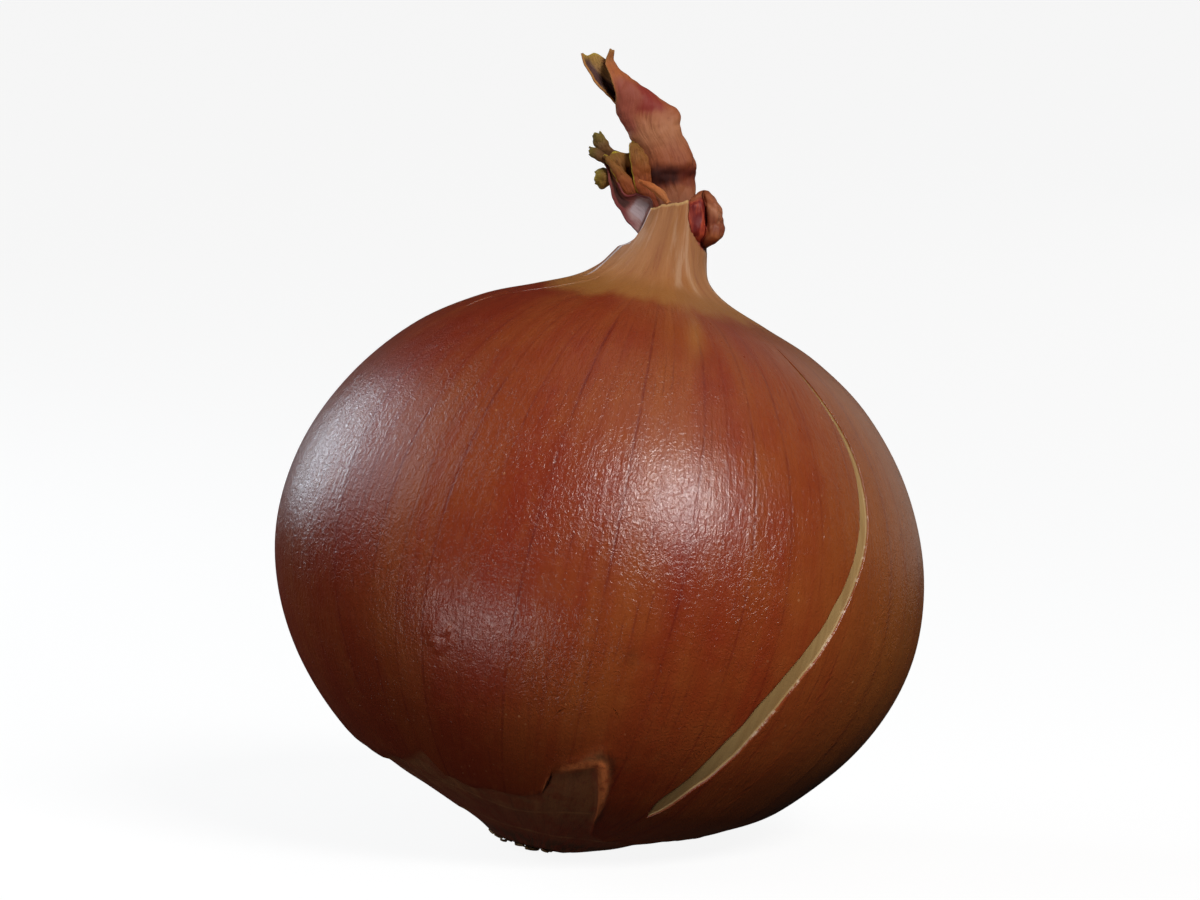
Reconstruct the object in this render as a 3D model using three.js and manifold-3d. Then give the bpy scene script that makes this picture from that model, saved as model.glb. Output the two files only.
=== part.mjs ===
// A brown onion, dried for keeping, with its skin split down one side and the withered leaf tops on its neck.
// Millimetres. The onion is modelled about its own axis, with the root plate at 0 and the neck above it.
// It is then leaned over to the right, as it comes to rest on the edge of its root plate. Front is -Y, up is +Z.
import * as THREE from "three";
import { mergeVertices } from "three/addons/utils/BufferGeometryUtils.js";
import Module from "manifold-3d";

const wasm = await Module();
wasm.setup();

const DEG = Math.PI / 180;
const UP = new THREE.Vector3(0, 0, 1);

// How the onion stands: its lean to the right, and where the middle of its root plate is
const LEAN = 11.31 * DEG;
const ROOT_X = -6.02;
const ROOT_Z = 0.3;

// The outline from the root plate's edge to the neck's torn rim, as [radius, height] about the onion's axis.
// The belly sits a little to the left of the axis.
const OUTLINE = new THREE.SplineCurve(
  [
    [7.2, 0], [8.6, 0.5], [12.4, 2.3], [16.3, 4.1], [20.3, 5.9], [26.2, 9.4], [32.6, 16.4], [36.6, 24.2],
    [38.0, 32.2], [36.7, 41.0], [32.7, 49.5], [26.7, 56.6], [20.0, 61.2], [13.8, 63.8], [9.4, 65.6],
    [6.9, 67.3], [5.5, 69.4], [4.4, 72.2], [3.6, 75.5],
  ].map(([r, h]) => new THREE.Vector2(r, h)),
);
const LOPSIDED = 0.33;
const SWELL = 0.15;
const BASE_ROWS = 6;
const SKIN_ROWS = 38;
const COLUMNS = 52;

// The neck: its pleats, and how it flares to the left. Its rim rises to the right, and is torn down at the left.
const NECK_FOOT = 64;
const PLEATS = 11;
const PLEAT_DEPTH = 0.06;
const FLARE = 0.8;
const FLARE_HEIGHT = 67.5;
const RIM_FOOT = 70;
const RIM_HEIGHT = 76.0;
const RIM_RISE = 1.2;
const RIM_DIP = 3.1;
const RIM_DIP_AT = -96;
const RIM_DIP_HALF = 34;
const RIM_DIP_EDGE = 9;
const WALL = 0.8;
const CUP_FLOOR = 70.4;
const GAP = 0.3;

// The root plate sits in a shallow recess, with a narrow gap round it
const RECESS_RADIUS = 6.9;
const RECESS_DEPTH = 2.5;
const PLATE_RADIUS = 6.5;
const PLATE_TOP = 2.2;

// The dry outer skin is this much proud of the layer under it
const SKIN_STEP = 0.4;

// A split in the skin: where it runs, as [height, degrees round from the front], and its half width, as
// [height, mm]
const SPLITS = [
  {
    course: [
      [0, 20], [8.4, 23.6], [14, 28], [24, 33.8], [34, 42], [44, 49.6], [52, 51.6], [60, 48], [76, 47],
    ],
    halfWidth: [
      [8, 0.05], [9.4, 0.8], [13, 1.15], [20, 1.3], [28, 1.2], [36, 0.95], [44, 0.8], [52, 0.5], [58, 0.3],
      [62, 0.05],
    ],
    depth: 0.35,
  },
  {
    course: [[0, -64], [60.6, -64.3], [62.5, -56], [65, -48], [76, -46]],
    halfWidth: [[59.5, 0.05], [61, 0.25], [63, 0.3], [64.5, 0.25], [66, 0.05]],
    depth: 0.25,
  },
];
// Columns of the mesh across a split, in half widths from its middle: lip, wall and floor
const ACROSS = [-1.5, -1, -0.75, 0.75, 1, 1.5];

const smooth = (from, to, x) => THREE.MathUtils.smoothstep(x, from, to);
const bump = (x, middle, halfWidth) => Math.exp(-(((x - middle) / halfWidth) ** 2));

// A smooth run through [x, y] pairs, flat beyond the ends
function through(pairs, x) {
  const last = pairs.length - 1;
  if (x <= pairs[0][0]) return pairs[0][1];
  if (x >= pairs[last][0]) return pairs[last][1];
  const k = pairs.findIndex((pair) => pair[0] > x) - 1;
  const slope = (i) => {
    const [a, b] = [pairs[Math.max(i - 1, 0)], pairs[Math.min(i + 1, last)]];
    return (b[1] - a[1]) / (b[0] - a[0]);
  };
  const span = pairs[k + 1][0] - pairs[k][0];
  const u = (x - pairs[k][0]) / span;
  return (
    (2 * u ** 3 - 3 * u ** 2 + 1) * pairs[k][1] +
    (u ** 3 - 2 * u ** 2 + u) * span * slope(k) +
    (3 * u ** 2 - 2 * u ** 3) * pairs[k + 1][1] +
    (u ** 3 - u ** 2) * span * slope(k + 1)
  );
}

// Where the outer skin has torn away round the root, as [degrees round from the front, height]
const TORN_EDGE = [
  [-180, 12], [-165, 8.6], [-140, 8], [-121, 10.2], [-104, 7.6], [-78, 9], [-60, 7.6], [-46, 8.4],
  [-35, 10.1], [-31, 8], [-15, 7.7], [-5, 8.6], [-3, 11.8], [6, 13.8], [8, 10.8], [11, 6.4], [15, 4],
  [24, 3.4], [44, 3.6], [62, 5], [80, 4.2], [98, 6], [118, 8.8], [140, 7.6], [160, 8.8], [171, 12],
  [180, 12],
];
const turnTo = (degrees) => THREE.MathUtils.euclideanModulo(degrees + 180, 360) - 180;
function tornEdge(degrees) {
  const angle = turnTo(degrees);
  const k = TORN_EDGE.findIndex((corner) => corner[0] > angle);
  const [[from, low], [to, high]] = [TORN_EDGE[k - 1], TORN_EDGE[k]];
  return THREE.MathUtils.mapLinear(angle, from, to, low, high);
}

// The spline's parameter at a height
const STEPS = 600;
const HEIGHTS = OUTLINE.getPoints(STEPS).map((p) => p.y);
const parameterAt = (height) => HEIGHTS.findIndex((h) => h >= height) / STEPS;
const RIM_END = OUTLINE.points.at(-1).y;

// The rows of the skin follow the torn edge at their foot, and are level from here up
const SKIN_FOOT = parameterAt(3.2);
const LEVEL_FROM = parameterAt(27);

// Anything lower than the table is pressed up to it. Points are in the onion's own frame.
function settle(point) {
  const below = -(ROOT_Z - point.x * Math.sin(LEAN) + point.z * Math.cos(LEAN));
  if (below > 0) point.add(new THREE.Vector3(-Math.sin(LEAN), 0, Math.cos(LEAN)).multiplyScalar(below));
  return point;
}

const around = (degrees, radius, height) =>
  new THREE.Vector3(radius * Math.sin(degrees * DEG), -radius * Math.cos(degrees * DEG), height);

function rimAt(degrees) {
  const away = Math.abs(turnTo(degrees - RIM_DIP_AT));
  const dip = RIM_DIP * (1 - smooth(RIM_DIP_HALF, RIM_DIP_HALF + RIM_DIP_EDGE, away));
  return RIM_HEIGHT + RIM_RISE * Math.sin(degrees * DEG) - dip;
}

// A point on the skin. sunk is how far it lies under the outer skin, square to the outline.
function onSkin(degrees, t, sunk) {
  const { x: radius, y: height } = OUTLINE.getPoint(t);
  const along = OUTLINE.getTangent(Math.min(Math.max(t, 0.002), 0.998));
  const neck = smooth(NECK_FOOT - 2, NECK_FOOT + 5, height);
  const belly = smooth(2, 14, height) * (1 - neck);
  const swell = SWELL * (Math.cos((2 * degrees + 110) * DEG) + Math.cos((4 * degrees - 70) * DEG));
  const pleat = PLEAT_DEPTH * Math.cos((PLEATS * degrees + 25 * Math.sin(2 * degrees * DEG)) * DEG);
  const flare = -FLARE * Math.sin(degrees * DEG) * bump(height, FLARE_HEIGHT, 3);
  const lopsided = -LOPSIDED * Math.sin(degrees * DEG) * belly;
  const r = radius + swell * belly + lopsided + pleat * neck + flare - sunk * along.y;
  const stretch = (rimAt(degrees) - RIM_FOOT) / (RIM_END - RIM_FOOT);
  const raised = height > RIM_FOOT ? RIM_FOOT + (height - RIM_FOOT) * stretch : height;
  return around(degrees, r, raised + sunk * along.x);
}

// The columns at a height: some follow each split, and the rest are spread evenly between them
function columnsAt(height) {
  const radius = Math.max(OUTLINE.getPoint(parameterAt(Math.min(Math.max(height, 0.1), 75))).x, 4);
  const clusters = SPLITS.map((split) => {
    const middle = through(split.course, height);
    const half = through(split.halfWidth, height);
    return ACROSS.map((c) => ({
      degrees: middle + (c * half) / radius / DEG,
      sunk: Math.abs(c) < 1 ? split.depth * smooth(0.05, 0.35, half) : 0,
    }));
  }).sort((a, b) => a[0].degrees - b[0].degrees);
  return clusters.flatMap((cluster, k) => {
    const isLast = k === clusters.length - 1;
    const next = clusters[(k + 1) % clusters.length][0].degrees + (isLast ? 360 : 0);
    const from = cluster.at(-1).degrees;
    const count = Math.round(COLUMNS * (isLast ? 0.7 : 0.3));
    const between = Array.from({ length: count }, (_, i) => ({
      degrees: from + ((next - from) * (i + 1)) / (count + 1),
      sunk: 0,
    }));
    return [...cluster, ...between];
  });
}

// A closed solid from rings of points, each ring with as many points, closed at both ends by a middle point
function solidOfRings(first, rings, last) {
  const count = rings[0].length;
  const points = [first, ...rings.flat(), last];
  const at = (row, column) => 1 + row * count + (column % count);
  const triangles = [];
  for (let c = 0; c < count; c++) {
    triangles.push(0, at(0, c + 1), at(0, c));
    for (let row = 0; row + 1 < rings.length; row++) {
      triangles.push(at(row, c), at(row, c + 1), at(row + 1, c + 1));
      triangles.push(at(row, c), at(row + 1, c + 1), at(row + 1, c));
    }
    triangles.push(points.length - 1, at(rings.length - 1, c), at(rings.length - 1, c + 1));
  }
  return manifoldOf(points, triangles);
}

const middleOf = (ring) =>
  ring.reduce((sum, p) => sum.add(p), new THREE.Vector3()).divideScalar(ring.length);

function manifoldOf(points, triangles) {
  const made = new wasm.Manifold(
    new wasm.Mesh({
      numProp: 3,
      vertProperties: new Float32Array(points.flatMap((p) => [p.x, p.y, p.z])),
      triVerts: new Uint32Array(triangles),
    }),
  );
  if (made.volume() > 0) return made;
  const turned = triangles.flatMap((_, i) =>
    i % 3 ? [] : [triangles[i], triangles[i + 2], triangles[i + 1]],
  );
  return manifoldOf(points, turned);
}

// A thin blade, such as a dry leaf end. Each station has the two edges as [x, height], the depth of the arch
// between them, how far its middle lies behind the axis, and the angles that the arch runs between.
// 180 is the left edge, 90 the front, 0 the right edge and -90 the back.
const BLADE = 0.62;
const station = ([leftX, leftH], [rightX, rightH], arch, behind, from = 175, to = 5) => ({
  leftX, leftH, rightX, rightH, arch, behind, from, to,
});

function blade(rowsOfEdges, { rows, columns, ragged = () => 0 }) {
  const stations = rowsOfEdges.map((row) => station(...row));
  const last = stations.length - 1;
  const read = (key, u) => through(stations.map((place, i) => [i / last, place[key]]), u);
  const middle = [];
  for (let i = 0; i <= rows; i++) {
    const line = [];
    for (let j = 0; j <= columns; j++) {
      const u = Math.max(0, (i / rows) * (1 - ragged(j / columns)));
      const angle = THREE.MathUtils.lerp(read("from", u), read("to", u), j / columns) * DEG;
      const wide = (1 + Math.cos(angle)) / 2;
      line.push(
        new THREE.Vector3(
          THREE.MathUtils.lerp(read("leftX", u), read("rightX", u), wide),
          read("behind", u) - read("arch", u) * Math.sin(angle),
          THREE.MathUtils.lerp(read("leftH", u), read("rightH", u), wide),
        ),
      );
    }
    middle.push(line);
  }
  const within = (k, most) => THREE.MathUtils.clamp(k, 0, most);
  const spot = (i, j) => middle[within(i, rows)][within(j, columns)];
  const normal = (i, j) => {
    const up = spot(i + 1, j).clone().sub(spot(i - 1, j));
    return up.cross(spot(i, j + 1).clone().sub(spot(i, j - 1))).normalize();
  };
  const points = [BLADE / 2, -BLADE / 2].flatMap((push) =>
    middle.flatMap((line, i) => line.map((p, j) => p.clone().addScaledVector(normal(i, j), push))),
  );
  const width = columns + 1;
  const back = (rows + 1) * width;
  const quad = (a, b, c, d) => [a, b, c, a, c, d];
  const triangles = [];
  for (let i = 0; i < rows; i++) {
    for (let j = 0; j < columns; j++) {
      const front = i * width + j;
      const rear = front + back;
      triangles.push(...quad(front, front + width, front + width + 1, front + 1));
      triangles.push(rear, rear + width + 1, rear + width, rear, rear + 1, rear + width + 1);
    }
    const [l, r] = [i * width, i * width + columns];
    triangles.push(...quad(l, l + back, l + back + width, l + width));
    triangles.push(...quad(r, r + width, r + back + width, r + back));
  }
  for (let j = 0; j < columns; j++) {
    const top = rows * width + j;
    triangles.push(...quad(j, j + 1, j + 1 + back, j + back));
    triangles.push(...quad(top, top + back, top + 1 + back, top + 1));
  }
  return manifoldOf(points, triangles);
}

// The bulb: the recess for the root plate, the base where the outer skin has torn away, the skin, and the neck
// with its mouth
function bulbBody() {
  const recessRing = (radius, height) =>
    columnsAt(0).map(({ degrees }) => settle(around(degrees, radius, height)));
  const rings = [
    recessRing(RECESS_RADIUS / 2, RECESS_DEPTH),
    recessRing(RECESS_RADIUS, RECESS_DEPTH),
    recessRing(RECESS_RADIUS, 0.05),
  ];
  const edgeOf = (degrees) => parameterAt(tornEdge(degrees));
  for (let row = 0; row <= BASE_ROWS; row++) {
    const share = row / BASE_ROWS;
    const height = OUTLINE.getPoint(share * SKIN_FOOT).y;
    rings.push(
      columnsAt(height).map(({ degrees }) =>
        settle(onSkin(degrees, edgeOf(degrees) * share, SKIN_STEP * smooth(0, 0.3, share))),
      ),
    );
  }
  for (let row = 0; row <= SKIN_ROWS; row++) {
    const level = THREE.MathUtils.lerp(SKIN_FOOT, 1, row / SKIN_ROWS);
    const follow = 1 - smooth(SKIN_FOOT, LEVEL_FROM, level);
    rings.push(
      columnsAt(OUTLINE.getPoint(level).y).map(({ degrees, sunk }) =>
        settle(onSkin(degrees, level + (edgeOf(degrees) + 0.004 - SKIN_FOOT) * follow, sunk)),
      ),
    );
  }
  const rim = rings.at(-1).map((p) => {
    const inward = 1 - WALL / Math.hypot(p.x, p.y);
    return new THREE.Vector3(p.x * inward, p.y * inward, p.z - 0.1);
  });
  const mouthRing = (radius, height) =>
    columnsAt(RIM_END).map(({ degrees }) => around(degrees, radius, height));
  rings.push(rim, mouthRing(2.6, CUP_FLOOR + 0.3), mouthRing(1.5, CUP_FLOOR));
  return solidOfRings(new THREE.Vector3(0, 0, RECESS_DEPTH), rings, new THREE.Vector3(0, 0, CUP_FLOOR));
}

// The torn collar's ear: the skin at the right of the rim, folded out and rolled down, with its top sloped down to
// the left. Its section is given as [x, y]. Each level is [height, size of the section, shift to the right].
const EAR_SECTION = [
  [1.5, -3.5], [2.3, -3.9], [3.1, -3.6], [3.6, -2.5], [4.1, -3.5], [5.0, -3.5],
  [5.7, -2.6], [5.8, -0.9], [4.8, 0.5], [3.2, 1.2], [2.7, 0.2], [2.4, -1.6],
];
const EAR_LEVELS = [
  [71.6, 0.24, 3.0], [72.3, 0.66, 1.4], [73.2, 0.94, 0.6], [75.2, 1.0, 0], [76.4, 0.96, -0.2],
  [77.6, 0.66, 0.4], [78.2, 0.28, 1.8],
];
const EAR_SLOPE = 0.9;
function collarEar() {
  const rings = EAR_LEVELS.map(([height, size, shift]) =>
    EAR_SECTION.map(([x, y]) => {
      const low = EAR_SLOPE * smooth(75.5, 77.5, height) * (1 - smooth(1.2, 3.0, x * size + shift));
      return new THREE.Vector3(x * size + shift, y * size - (1 - size), height - low);
    }),
  );
  return solidOfRings(middleOf(rings[0]), rings, middleOf(rings.at(-1)));
}

// The strip of skin that has peeled away from the left of the neck, hollow towards the front and curling
// upwards, with a shrivelled scrap that hangs off to the left behind it
const PEEL = [
  [[-3.3, 71.6], [-2.7, 75.0], -0.5, -1.6],
  [[-4.1, 72.3], [-3.2, 76.1], -0.7, -1.6],
  [[-5.6, 73.4], [-4.4, 76.2], -0.8, -1.4],
  [[-7.2, 75.1], [-6.0, 75.9], -0.7, -1.1],
  [[-8.1, 77.0], [-7.3, 77.3], -0.5, -0.7],
  [[-9.1, 79.0], [-8.5, 78.9], -0.3, -0.2],
];
const SCRAP = [
  [[-6.4, 75.6], [-6.4, 76.5], 0.3, 0.3],
  [[-8.1, 76.9], [-8.3, 78.3], 0.5, 0.6],
  [[-9.0, 76.2], [-9.2, 78.7], 0.6, 0.8],
  [[-9.9, 76.7], [-10.1, 77.9], 0.4, 0.8],
];
const collarPeel = () => blade(PEEL, { rows: 10, columns: 6 }).add(blade(SCRAP, { rows: 6, columns: 5 }));

// The withered leaf tops. The tall one is a dry sheath rolled on itself, and open towards the left near its end.
// The end is notched between its spiked front edge and its blunt back.
const TALL_LEAF = [
  [[-1.6, 73.7], [1.4, 73.9], 1.2, 0, 190, -150],
  [[-2.3, 75.9], [1.9, 77.1], 1.4, -0.1, 188, -120],
  [[-3.5, 77.6], [1.3, 79.2], 1.5, -0.2, 186, -105],
  [[-4.2, 79.6], [1.3, 81.0], 1.9, -0.6, 184, -100],
  [[-5.2, 81.4], [-0.1, 83.0], 1.7, -0.5, 182, -100],
  [[-6.9, 82.9], [-1.6, 84.9], 1.6, -0.4, 180, -105],
  [[-8.7, 84.9], [-1.9, 86.6], 1.6, -0.3, 174, -120],
  [[-10.0, 86.6], [-4.9, 87.9], 1.4, -0.2, 136, -160],
  [[-11.8, 88.1], [-8.0, 89.4], 1.1, -0.1, 100, -188],
  [[-13.6, 89.8], [-10.3, 90.7], 0.8, 0, 66, -190],
  [[-14.3, 91.2], [-10.9, 92.4], 0.7, 0, 34, -190],
];
const notched = (v) => 0.05 * bump(v, 0.42, 0.12) + 0.01 * (1 + Math.sin(19 * v)) * smooth(0, 0.12, v);
const tallLeaf = () => blade(TALL_LEAF, { rows: 26, columns: 13, ragged: notched });

// The lower leaf ends, shrivelled to curls that point left, each from its root to its tip. They are a strip, a cup
// that is hollow towards the front, a blade that lies against the tall leaf, and two fingers.
const CURLS = [
  [
    [[-3.0, 73.4], [-1.2, 73.6], 0.2, 0.2], [[-5.5, 75.2], [-3.4, 75.9], 0.3, -0.1],
    [[-7.0, 77.0], [-4.8, 77.3], 0.3, -0.5], [[-8.0, 78.3], [-6.2, 78.2], 0.3, -0.7],
    [[-8.9, 79.3], [-7.8, 79.0], 0.25, -0.7], [[-9.5, 80.1], [-9.1, 80.0], 0.2, -0.6],
  ],
  [
    [[-3.0, 73.8], [-0.8, 74.2], -0.6, -0.1], [[-4.9, 75.8], [-2.6, 76.3], -0.8, 0],
    [[-6.5, 77.3], [-3.8, 78.2], -0.9, 0.1], [[-8.1, 78.7], [-5.0, 79.7], -0.9, 0.1],
    [[-9.4, 80.2], [-6.5, 81.4], -0.7, 0],
  ],
  [
    [[-2.2, 73.8], [-0.2, 74.2], 0.4, -0.2], [[-4.4, 76.2], [-2.2, 76.6], 0.4, -0.6],
    [[-5.5, 78.1], [-3.4, 78.7], 0.4, -1.0], [[-6.2, 79.8], [-3.9, 80.1], 0.4, -1.3],
    [[-6.5, 81.1], [-4.8, 81.3], 0.3, -1.1], [[-6.7, 82.1], [-6.2, 82.3], 0.2, -0.8],
  ],
  [
    [[-6.6, 78.4], [-5.6, 79.2], 0.4, 0.5], [[-8.3, 79.5], [-7.3, 80.5], 0.4, 0.3],
    [[-9.5, 80.1], [-8.7, 81.0], 0.4, 0.2], [[-10.7, 81.0], [-9.3, 81.7], 0.4, 0.2],
    [[-11.2, 82.2], [-10.5, 82.6], 0.2, 0.3],
  ],
  [
    [[-7.0, 78.0], [-6.8, 79.0], 0.4, 0.4], [[-8.9, 79.1], [-9.0, 80.0], 0.4, 0],
    [[-10.1, 79.4], [-10.2, 80.6], 0.4, -0.1], [[-11.2, 79.9], [-11.3, 80.6], 0.3, 0],
  ],
];
const frayed = (v) => 0.03 * (1 + Math.sin(11 * v));
const curl = (stations) => blade(stations, { rows: 9, columns: 5, ragged: frayed });

// The leaf tops come up together out of the neck's mouth, and stand just clear of its wall
const FOOT = [[1.7, CUP_FLOOR + 0.4], [2.2, 72.5], [2.2, 74.8], [1.2, 76]];
const FOOT_TOP = 76.2;
const FOOT_SIDES = 16;
function leafTops(bulb) {
  const foot = solidOfRings(
    new THREE.Vector3(0, 0, CUP_FLOOR + 0.4),
    FOOT.map(([r, h]) => Array.from({ length: FOOT_SIDES }, (_, k) => around((k * 360) / FOOT_SIDES, r, h))),
    new THREE.Vector3(0, 0, FOOT_TOP),
  );
  const together = [tallLeaf(), ...CURLS.map(curl)].reduce((all, leaf) => all.add(leaf), foot);
  const sides = [[1, 0, 0], [-1, 0, 0], [0, 1, 0], [0, -1, 0], [0, 0, 1], [0, 0, -1]];
  const clear = sides.reduce(
    (rest, side) => rest.subtract(bulb.translate(side.map((x) => x * GAP))),
    together,
  );
  return clear.decompose().sort((a, b) => b.volume() - a.volume())[0];
}

// The root plate: a corky disc, with what is left of the dried roots splayed out below it on the left
const ROOTLETS = 17;
const ROOT_SIDES = 5;
const ROOT_COURSE = [[3.6, 0.7], [5.2, -0.1], [6.4, -0.4]];
const ROOT_TIP = -0.2;
function rootlet(index) {
  const heading = -90 + 150 * (index / (ROOTLETS - 1) - 0.5);
  const reach = 7.5 + 0.6 * Math.sin(index * 2.4);
  const across = around(heading + 90, 1, 0);
  const rings = [...ROOT_COURSE, [reach, ROOT_TIP]].map(([radius, height], k) => {
    const swing = heading + 5 * k * Math.sin(index * 1.7);
    const middle = settle(around(swing, radius, height + 0.18 * Math.sin(index * 3.1)));
    const thick = 0.42 - 0.07 * k;
    return Array.from({ length: ROOT_SIDES }, (_, s) => {
      const angle = (2 * Math.PI * s) / ROOT_SIDES;
      return middle
        .clone()
        .addScaledVector(across, thick * Math.cos(angle))
        .addScaledVector(UP, thick * Math.sin(angle));
    });
  });
  return solidOfRings(middleOf(rings[0]), rings.map((ring) => ring.map(settle)), middleOf(rings.at(-1)));
}

const PLATE_SECTION = [
  [2.4, -0.25], [4.6, -0.1], [6.1, 0.15], [PLATE_RADIUS, 0.7], [PLATE_RADIUS, PLATE_TOP], [3, PLATE_TOP],
];
const PLATE_SIDES = 36;
function rootPlate() {
  const knob = (degrees, radius) => 0.1 * Math.sin(9 * degrees * DEG + radius) * smooth(1, 4, radius);
  const ringOf = ([radius, height], k) =>
    Array.from({ length: PLATE_SIDES }, (_, i) => {
      const degrees = (i * 360) / PLATE_SIDES;
      return settle(around(degrees, radius, k < 3 ? height + knob(degrees, radius) : height));
    });
  const disc = solidOfRings(
    settle(new THREE.Vector3(0, 0, -0.1)),
    PLATE_SECTION.map(ringOf),
    new THREE.Vector3(0, 0, PLATE_TOP),
  );
  const roots = Array.from({ length: ROOTLETS }, (_, index) => rootlet(index));
  return roots.reduce((all, root) => all.add(root), disc);
}

function meshOf(solid, name, colour, roughness) {
  const { numProp, vertProperties, triVerts } = solid.getMesh();
  const corners = new THREE.BufferGeometry();
  const positions = Float32Array.from(vertProperties).filter((_, i) => i % numProp < 3);
  corners.setAttribute("position", new THREE.BufferAttribute(positions, 3));
  corners.setIndex(new THREE.BufferAttribute(triVerts, 1));
  const geometry = mergeVertices(corners, 1e-4);
  geometry.computeVertexNormals();
  const mesh = new THREE.Mesh(
    geometry,
    new THREE.MeshStandardMaterial({ color: colour, roughness, metalness: 0 }),
  );
  mesh.name = name;
  return mesh;
}

const bulb = bulbBody().add(collarEar()).add(collarPeel());
const onion = new THREE.Group();
onion.name = "onion";
onion.rotation.y = LEAN;
onion.position.set(ROOT_X, 0, ROOT_Z);
onion.add(
  meshOf(bulb, "bulb", 0x8a3f1c, 0.35),
  meshOf(leafTops(bulb), "dry_leaf_tops", 0xa5673a, 0.7),
  meshOf(rootPlate(), "root_plate", 0x5c4428, 0.9),
);

const part = new THREE.Group();
part.add(onion);
export default part;
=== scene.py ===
"""A brown onion at rest: its glossy skin, split down one side, its torn neck, withered leaf tops and roots.

Every piece is shaped in millimetres about the onion's own axis, root plate down, and is then leaned over
to the right as the onion stands. Angles go round from the front, in degrees, towards the right.
"""
import math

import bpy
import numpy as np
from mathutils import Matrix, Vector


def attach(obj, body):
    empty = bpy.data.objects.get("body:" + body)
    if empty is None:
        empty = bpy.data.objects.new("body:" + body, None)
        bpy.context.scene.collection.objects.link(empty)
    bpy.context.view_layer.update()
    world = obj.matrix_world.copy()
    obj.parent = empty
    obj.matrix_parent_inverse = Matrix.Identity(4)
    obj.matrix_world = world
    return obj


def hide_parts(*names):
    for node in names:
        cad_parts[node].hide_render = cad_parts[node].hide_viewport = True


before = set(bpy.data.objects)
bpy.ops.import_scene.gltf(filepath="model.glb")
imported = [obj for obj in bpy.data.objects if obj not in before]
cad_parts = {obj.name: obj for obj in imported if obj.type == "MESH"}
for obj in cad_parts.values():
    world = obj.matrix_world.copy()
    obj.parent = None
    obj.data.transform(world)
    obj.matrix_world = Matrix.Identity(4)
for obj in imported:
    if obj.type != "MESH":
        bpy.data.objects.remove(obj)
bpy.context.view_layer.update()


# The bulb: one grown body from the root end to the neck's torn rim, in a dry glossy skin.
# The skin has split from the shoulder to the root, and more shortly on the left shoulder, and shows the paler
# skin under it. Round the root it has torn away in a ragged edge.
LEAN = math.radians(11.31)
ROOT_X = -6.02
ROOT_Z = 0.3
OUTLINE = np.array([
    [7.2, 0], [8.6, 0.5], [12.4, 2.3], [16.3, 4.1], [20.3, 5.9], [26.2, 9.4], [32.6, 16.4], [36.6, 24.2],
    [38.0, 32.2], [36.7, 41.0], [32.7, 49.5], [26.7, 56.6], [20.0, 61.2], [13.8, 63.8], [9.4, 65.6],
    [6.9, 67.3], [5.5, 69.4], [4.4, 72.2], [3.6, 75.5],
])
LOPSIDED = 0.33
SWELL = 0.15
UNDER_SIZE = 0.09
BASE_ROWS = 40
SKIN_ROWS = 130
COLUMNS = 480
SKIN_STEP = 0.4
RECESS_RADIUS = 6.9
RECESS_DEPTH = 2.5
CUP_FLOOR = 70.4
RIM_ROLL = [(0.1, -0.04), (0.22, 0.0), (0.32, 0.2), (0.42, 0.8)]
TORN_EDGE = [
    (-180, 12), (-165, 8.6), (-140, 8), (-121, 10.2), (-104, 7.6), (-78, 9), (-60, 7.6), (-46, 8.4),
    (-35, 10.1), (-31, 8), (-15, 7.7), (-5, 8.6), (-3, 11.8), (6, 13.8), (8, 10.8), (11, 6.4), (15, 4),
    (24, 3.4), (44, 3.6), (62, 5), (80, 4.2), (98, 6), (118, 8.8), (140, 7.6), (160, 8.8), (171, 12),
    (180, 12),
]
FAR_OFF = 9.0
EDGE_PLACES_A_DEGREE = 4
# A split's course is its angle at each height, and half is half its width there
LONG_SPLIT = {
    "course": [
        (0, 20), (8.4, 23.6), (14, 28), (24, 33.8), (34, 42), (44, 49.6), (52, 51.6), (60, 48), (76, 47),
    ],
    "half": [
        (8, 0.05), (9.4, 0.8), (13, 1.15), (20, 1.3), (28, 1.2), (36, 0.95), (44, 0.8), (52, 0.5), (58, 0.3),
        (62, 0.05),
    ],
    "depth": 0.3,
}
SHOULDER_SPLIT = {
    "course": [(0, -64), (60.6, -64.3), (62.5, -56), (65, -48), (76, -46)],
    "half": [(59.5, 0.05), (61, 0.25), (63, 0.3), (64.5, 0.25), (66, 0.05)],
    "depth": 0.22,
}
NECK_TEAR = [(64, -56), (66, -61), (69, -72), (71.2, -67), (72.3, -57), (76, -53)]
HALF_ACROSS = [0.5, 0.8, 0.93, 1.0, 1.1, 1.25, 1.5, 1.9, 2.6]
SPLIT_COLUMNS = np.array([-c for c in HALF_ACROSS[::-1]] + [0] + HALF_ACROSS)
IN_LONG_SPLIT = 10
NO_SPLIT = 99.0
FRONT_COLUMNS = int(COLUMNS * 0.28)


def smooth(low, high, x):
    t = np.clip((np.asarray(x, float) - low) / (high - low), 0, 1)
    return t * t * (3 - 2 * t)


def hump(x, middle, half):
    return np.exp(-(((np.asarray(x, float) - middle) / half) ** 2))


def through(pairs, x):
    """A smooth run through (x, y) pairs, flat beyond the ends."""
    xs, ys = np.array(pairs, float).T
    slopes = np.empty_like(ys)
    slopes[1:-1] = (ys[2:] - ys[:-2]) / (xs[2:] - xs[:-2])
    slopes[0], slopes[-1] = (ys[1] - ys[0]) / (xs[1] - xs[0]), (ys[-1] - ys[-2]) / (xs[-1] - xs[-2])
    x = np.clip(np.asarray(x, float), xs[0], xs[-1])
    k = np.clip(np.searchsorted(xs, x, side="right") - 1, 0, len(xs) - 2)
    span = xs[k + 1] - xs[k]
    u = (x - xs[k]) / span
    near = (2 * u**3 - 3 * u**2 + 1) * ys[k] + (u**3 - 2 * u**2 + u) * span * slopes[k]
    return near + (3 * u**2 - 2 * u**3) * ys[k + 1] + (u**3 - u**2) * span * slopes[k + 1]


def turn(degrees):
    return (np.asarray(degrees, float) + 180) % 360 - 180


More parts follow.
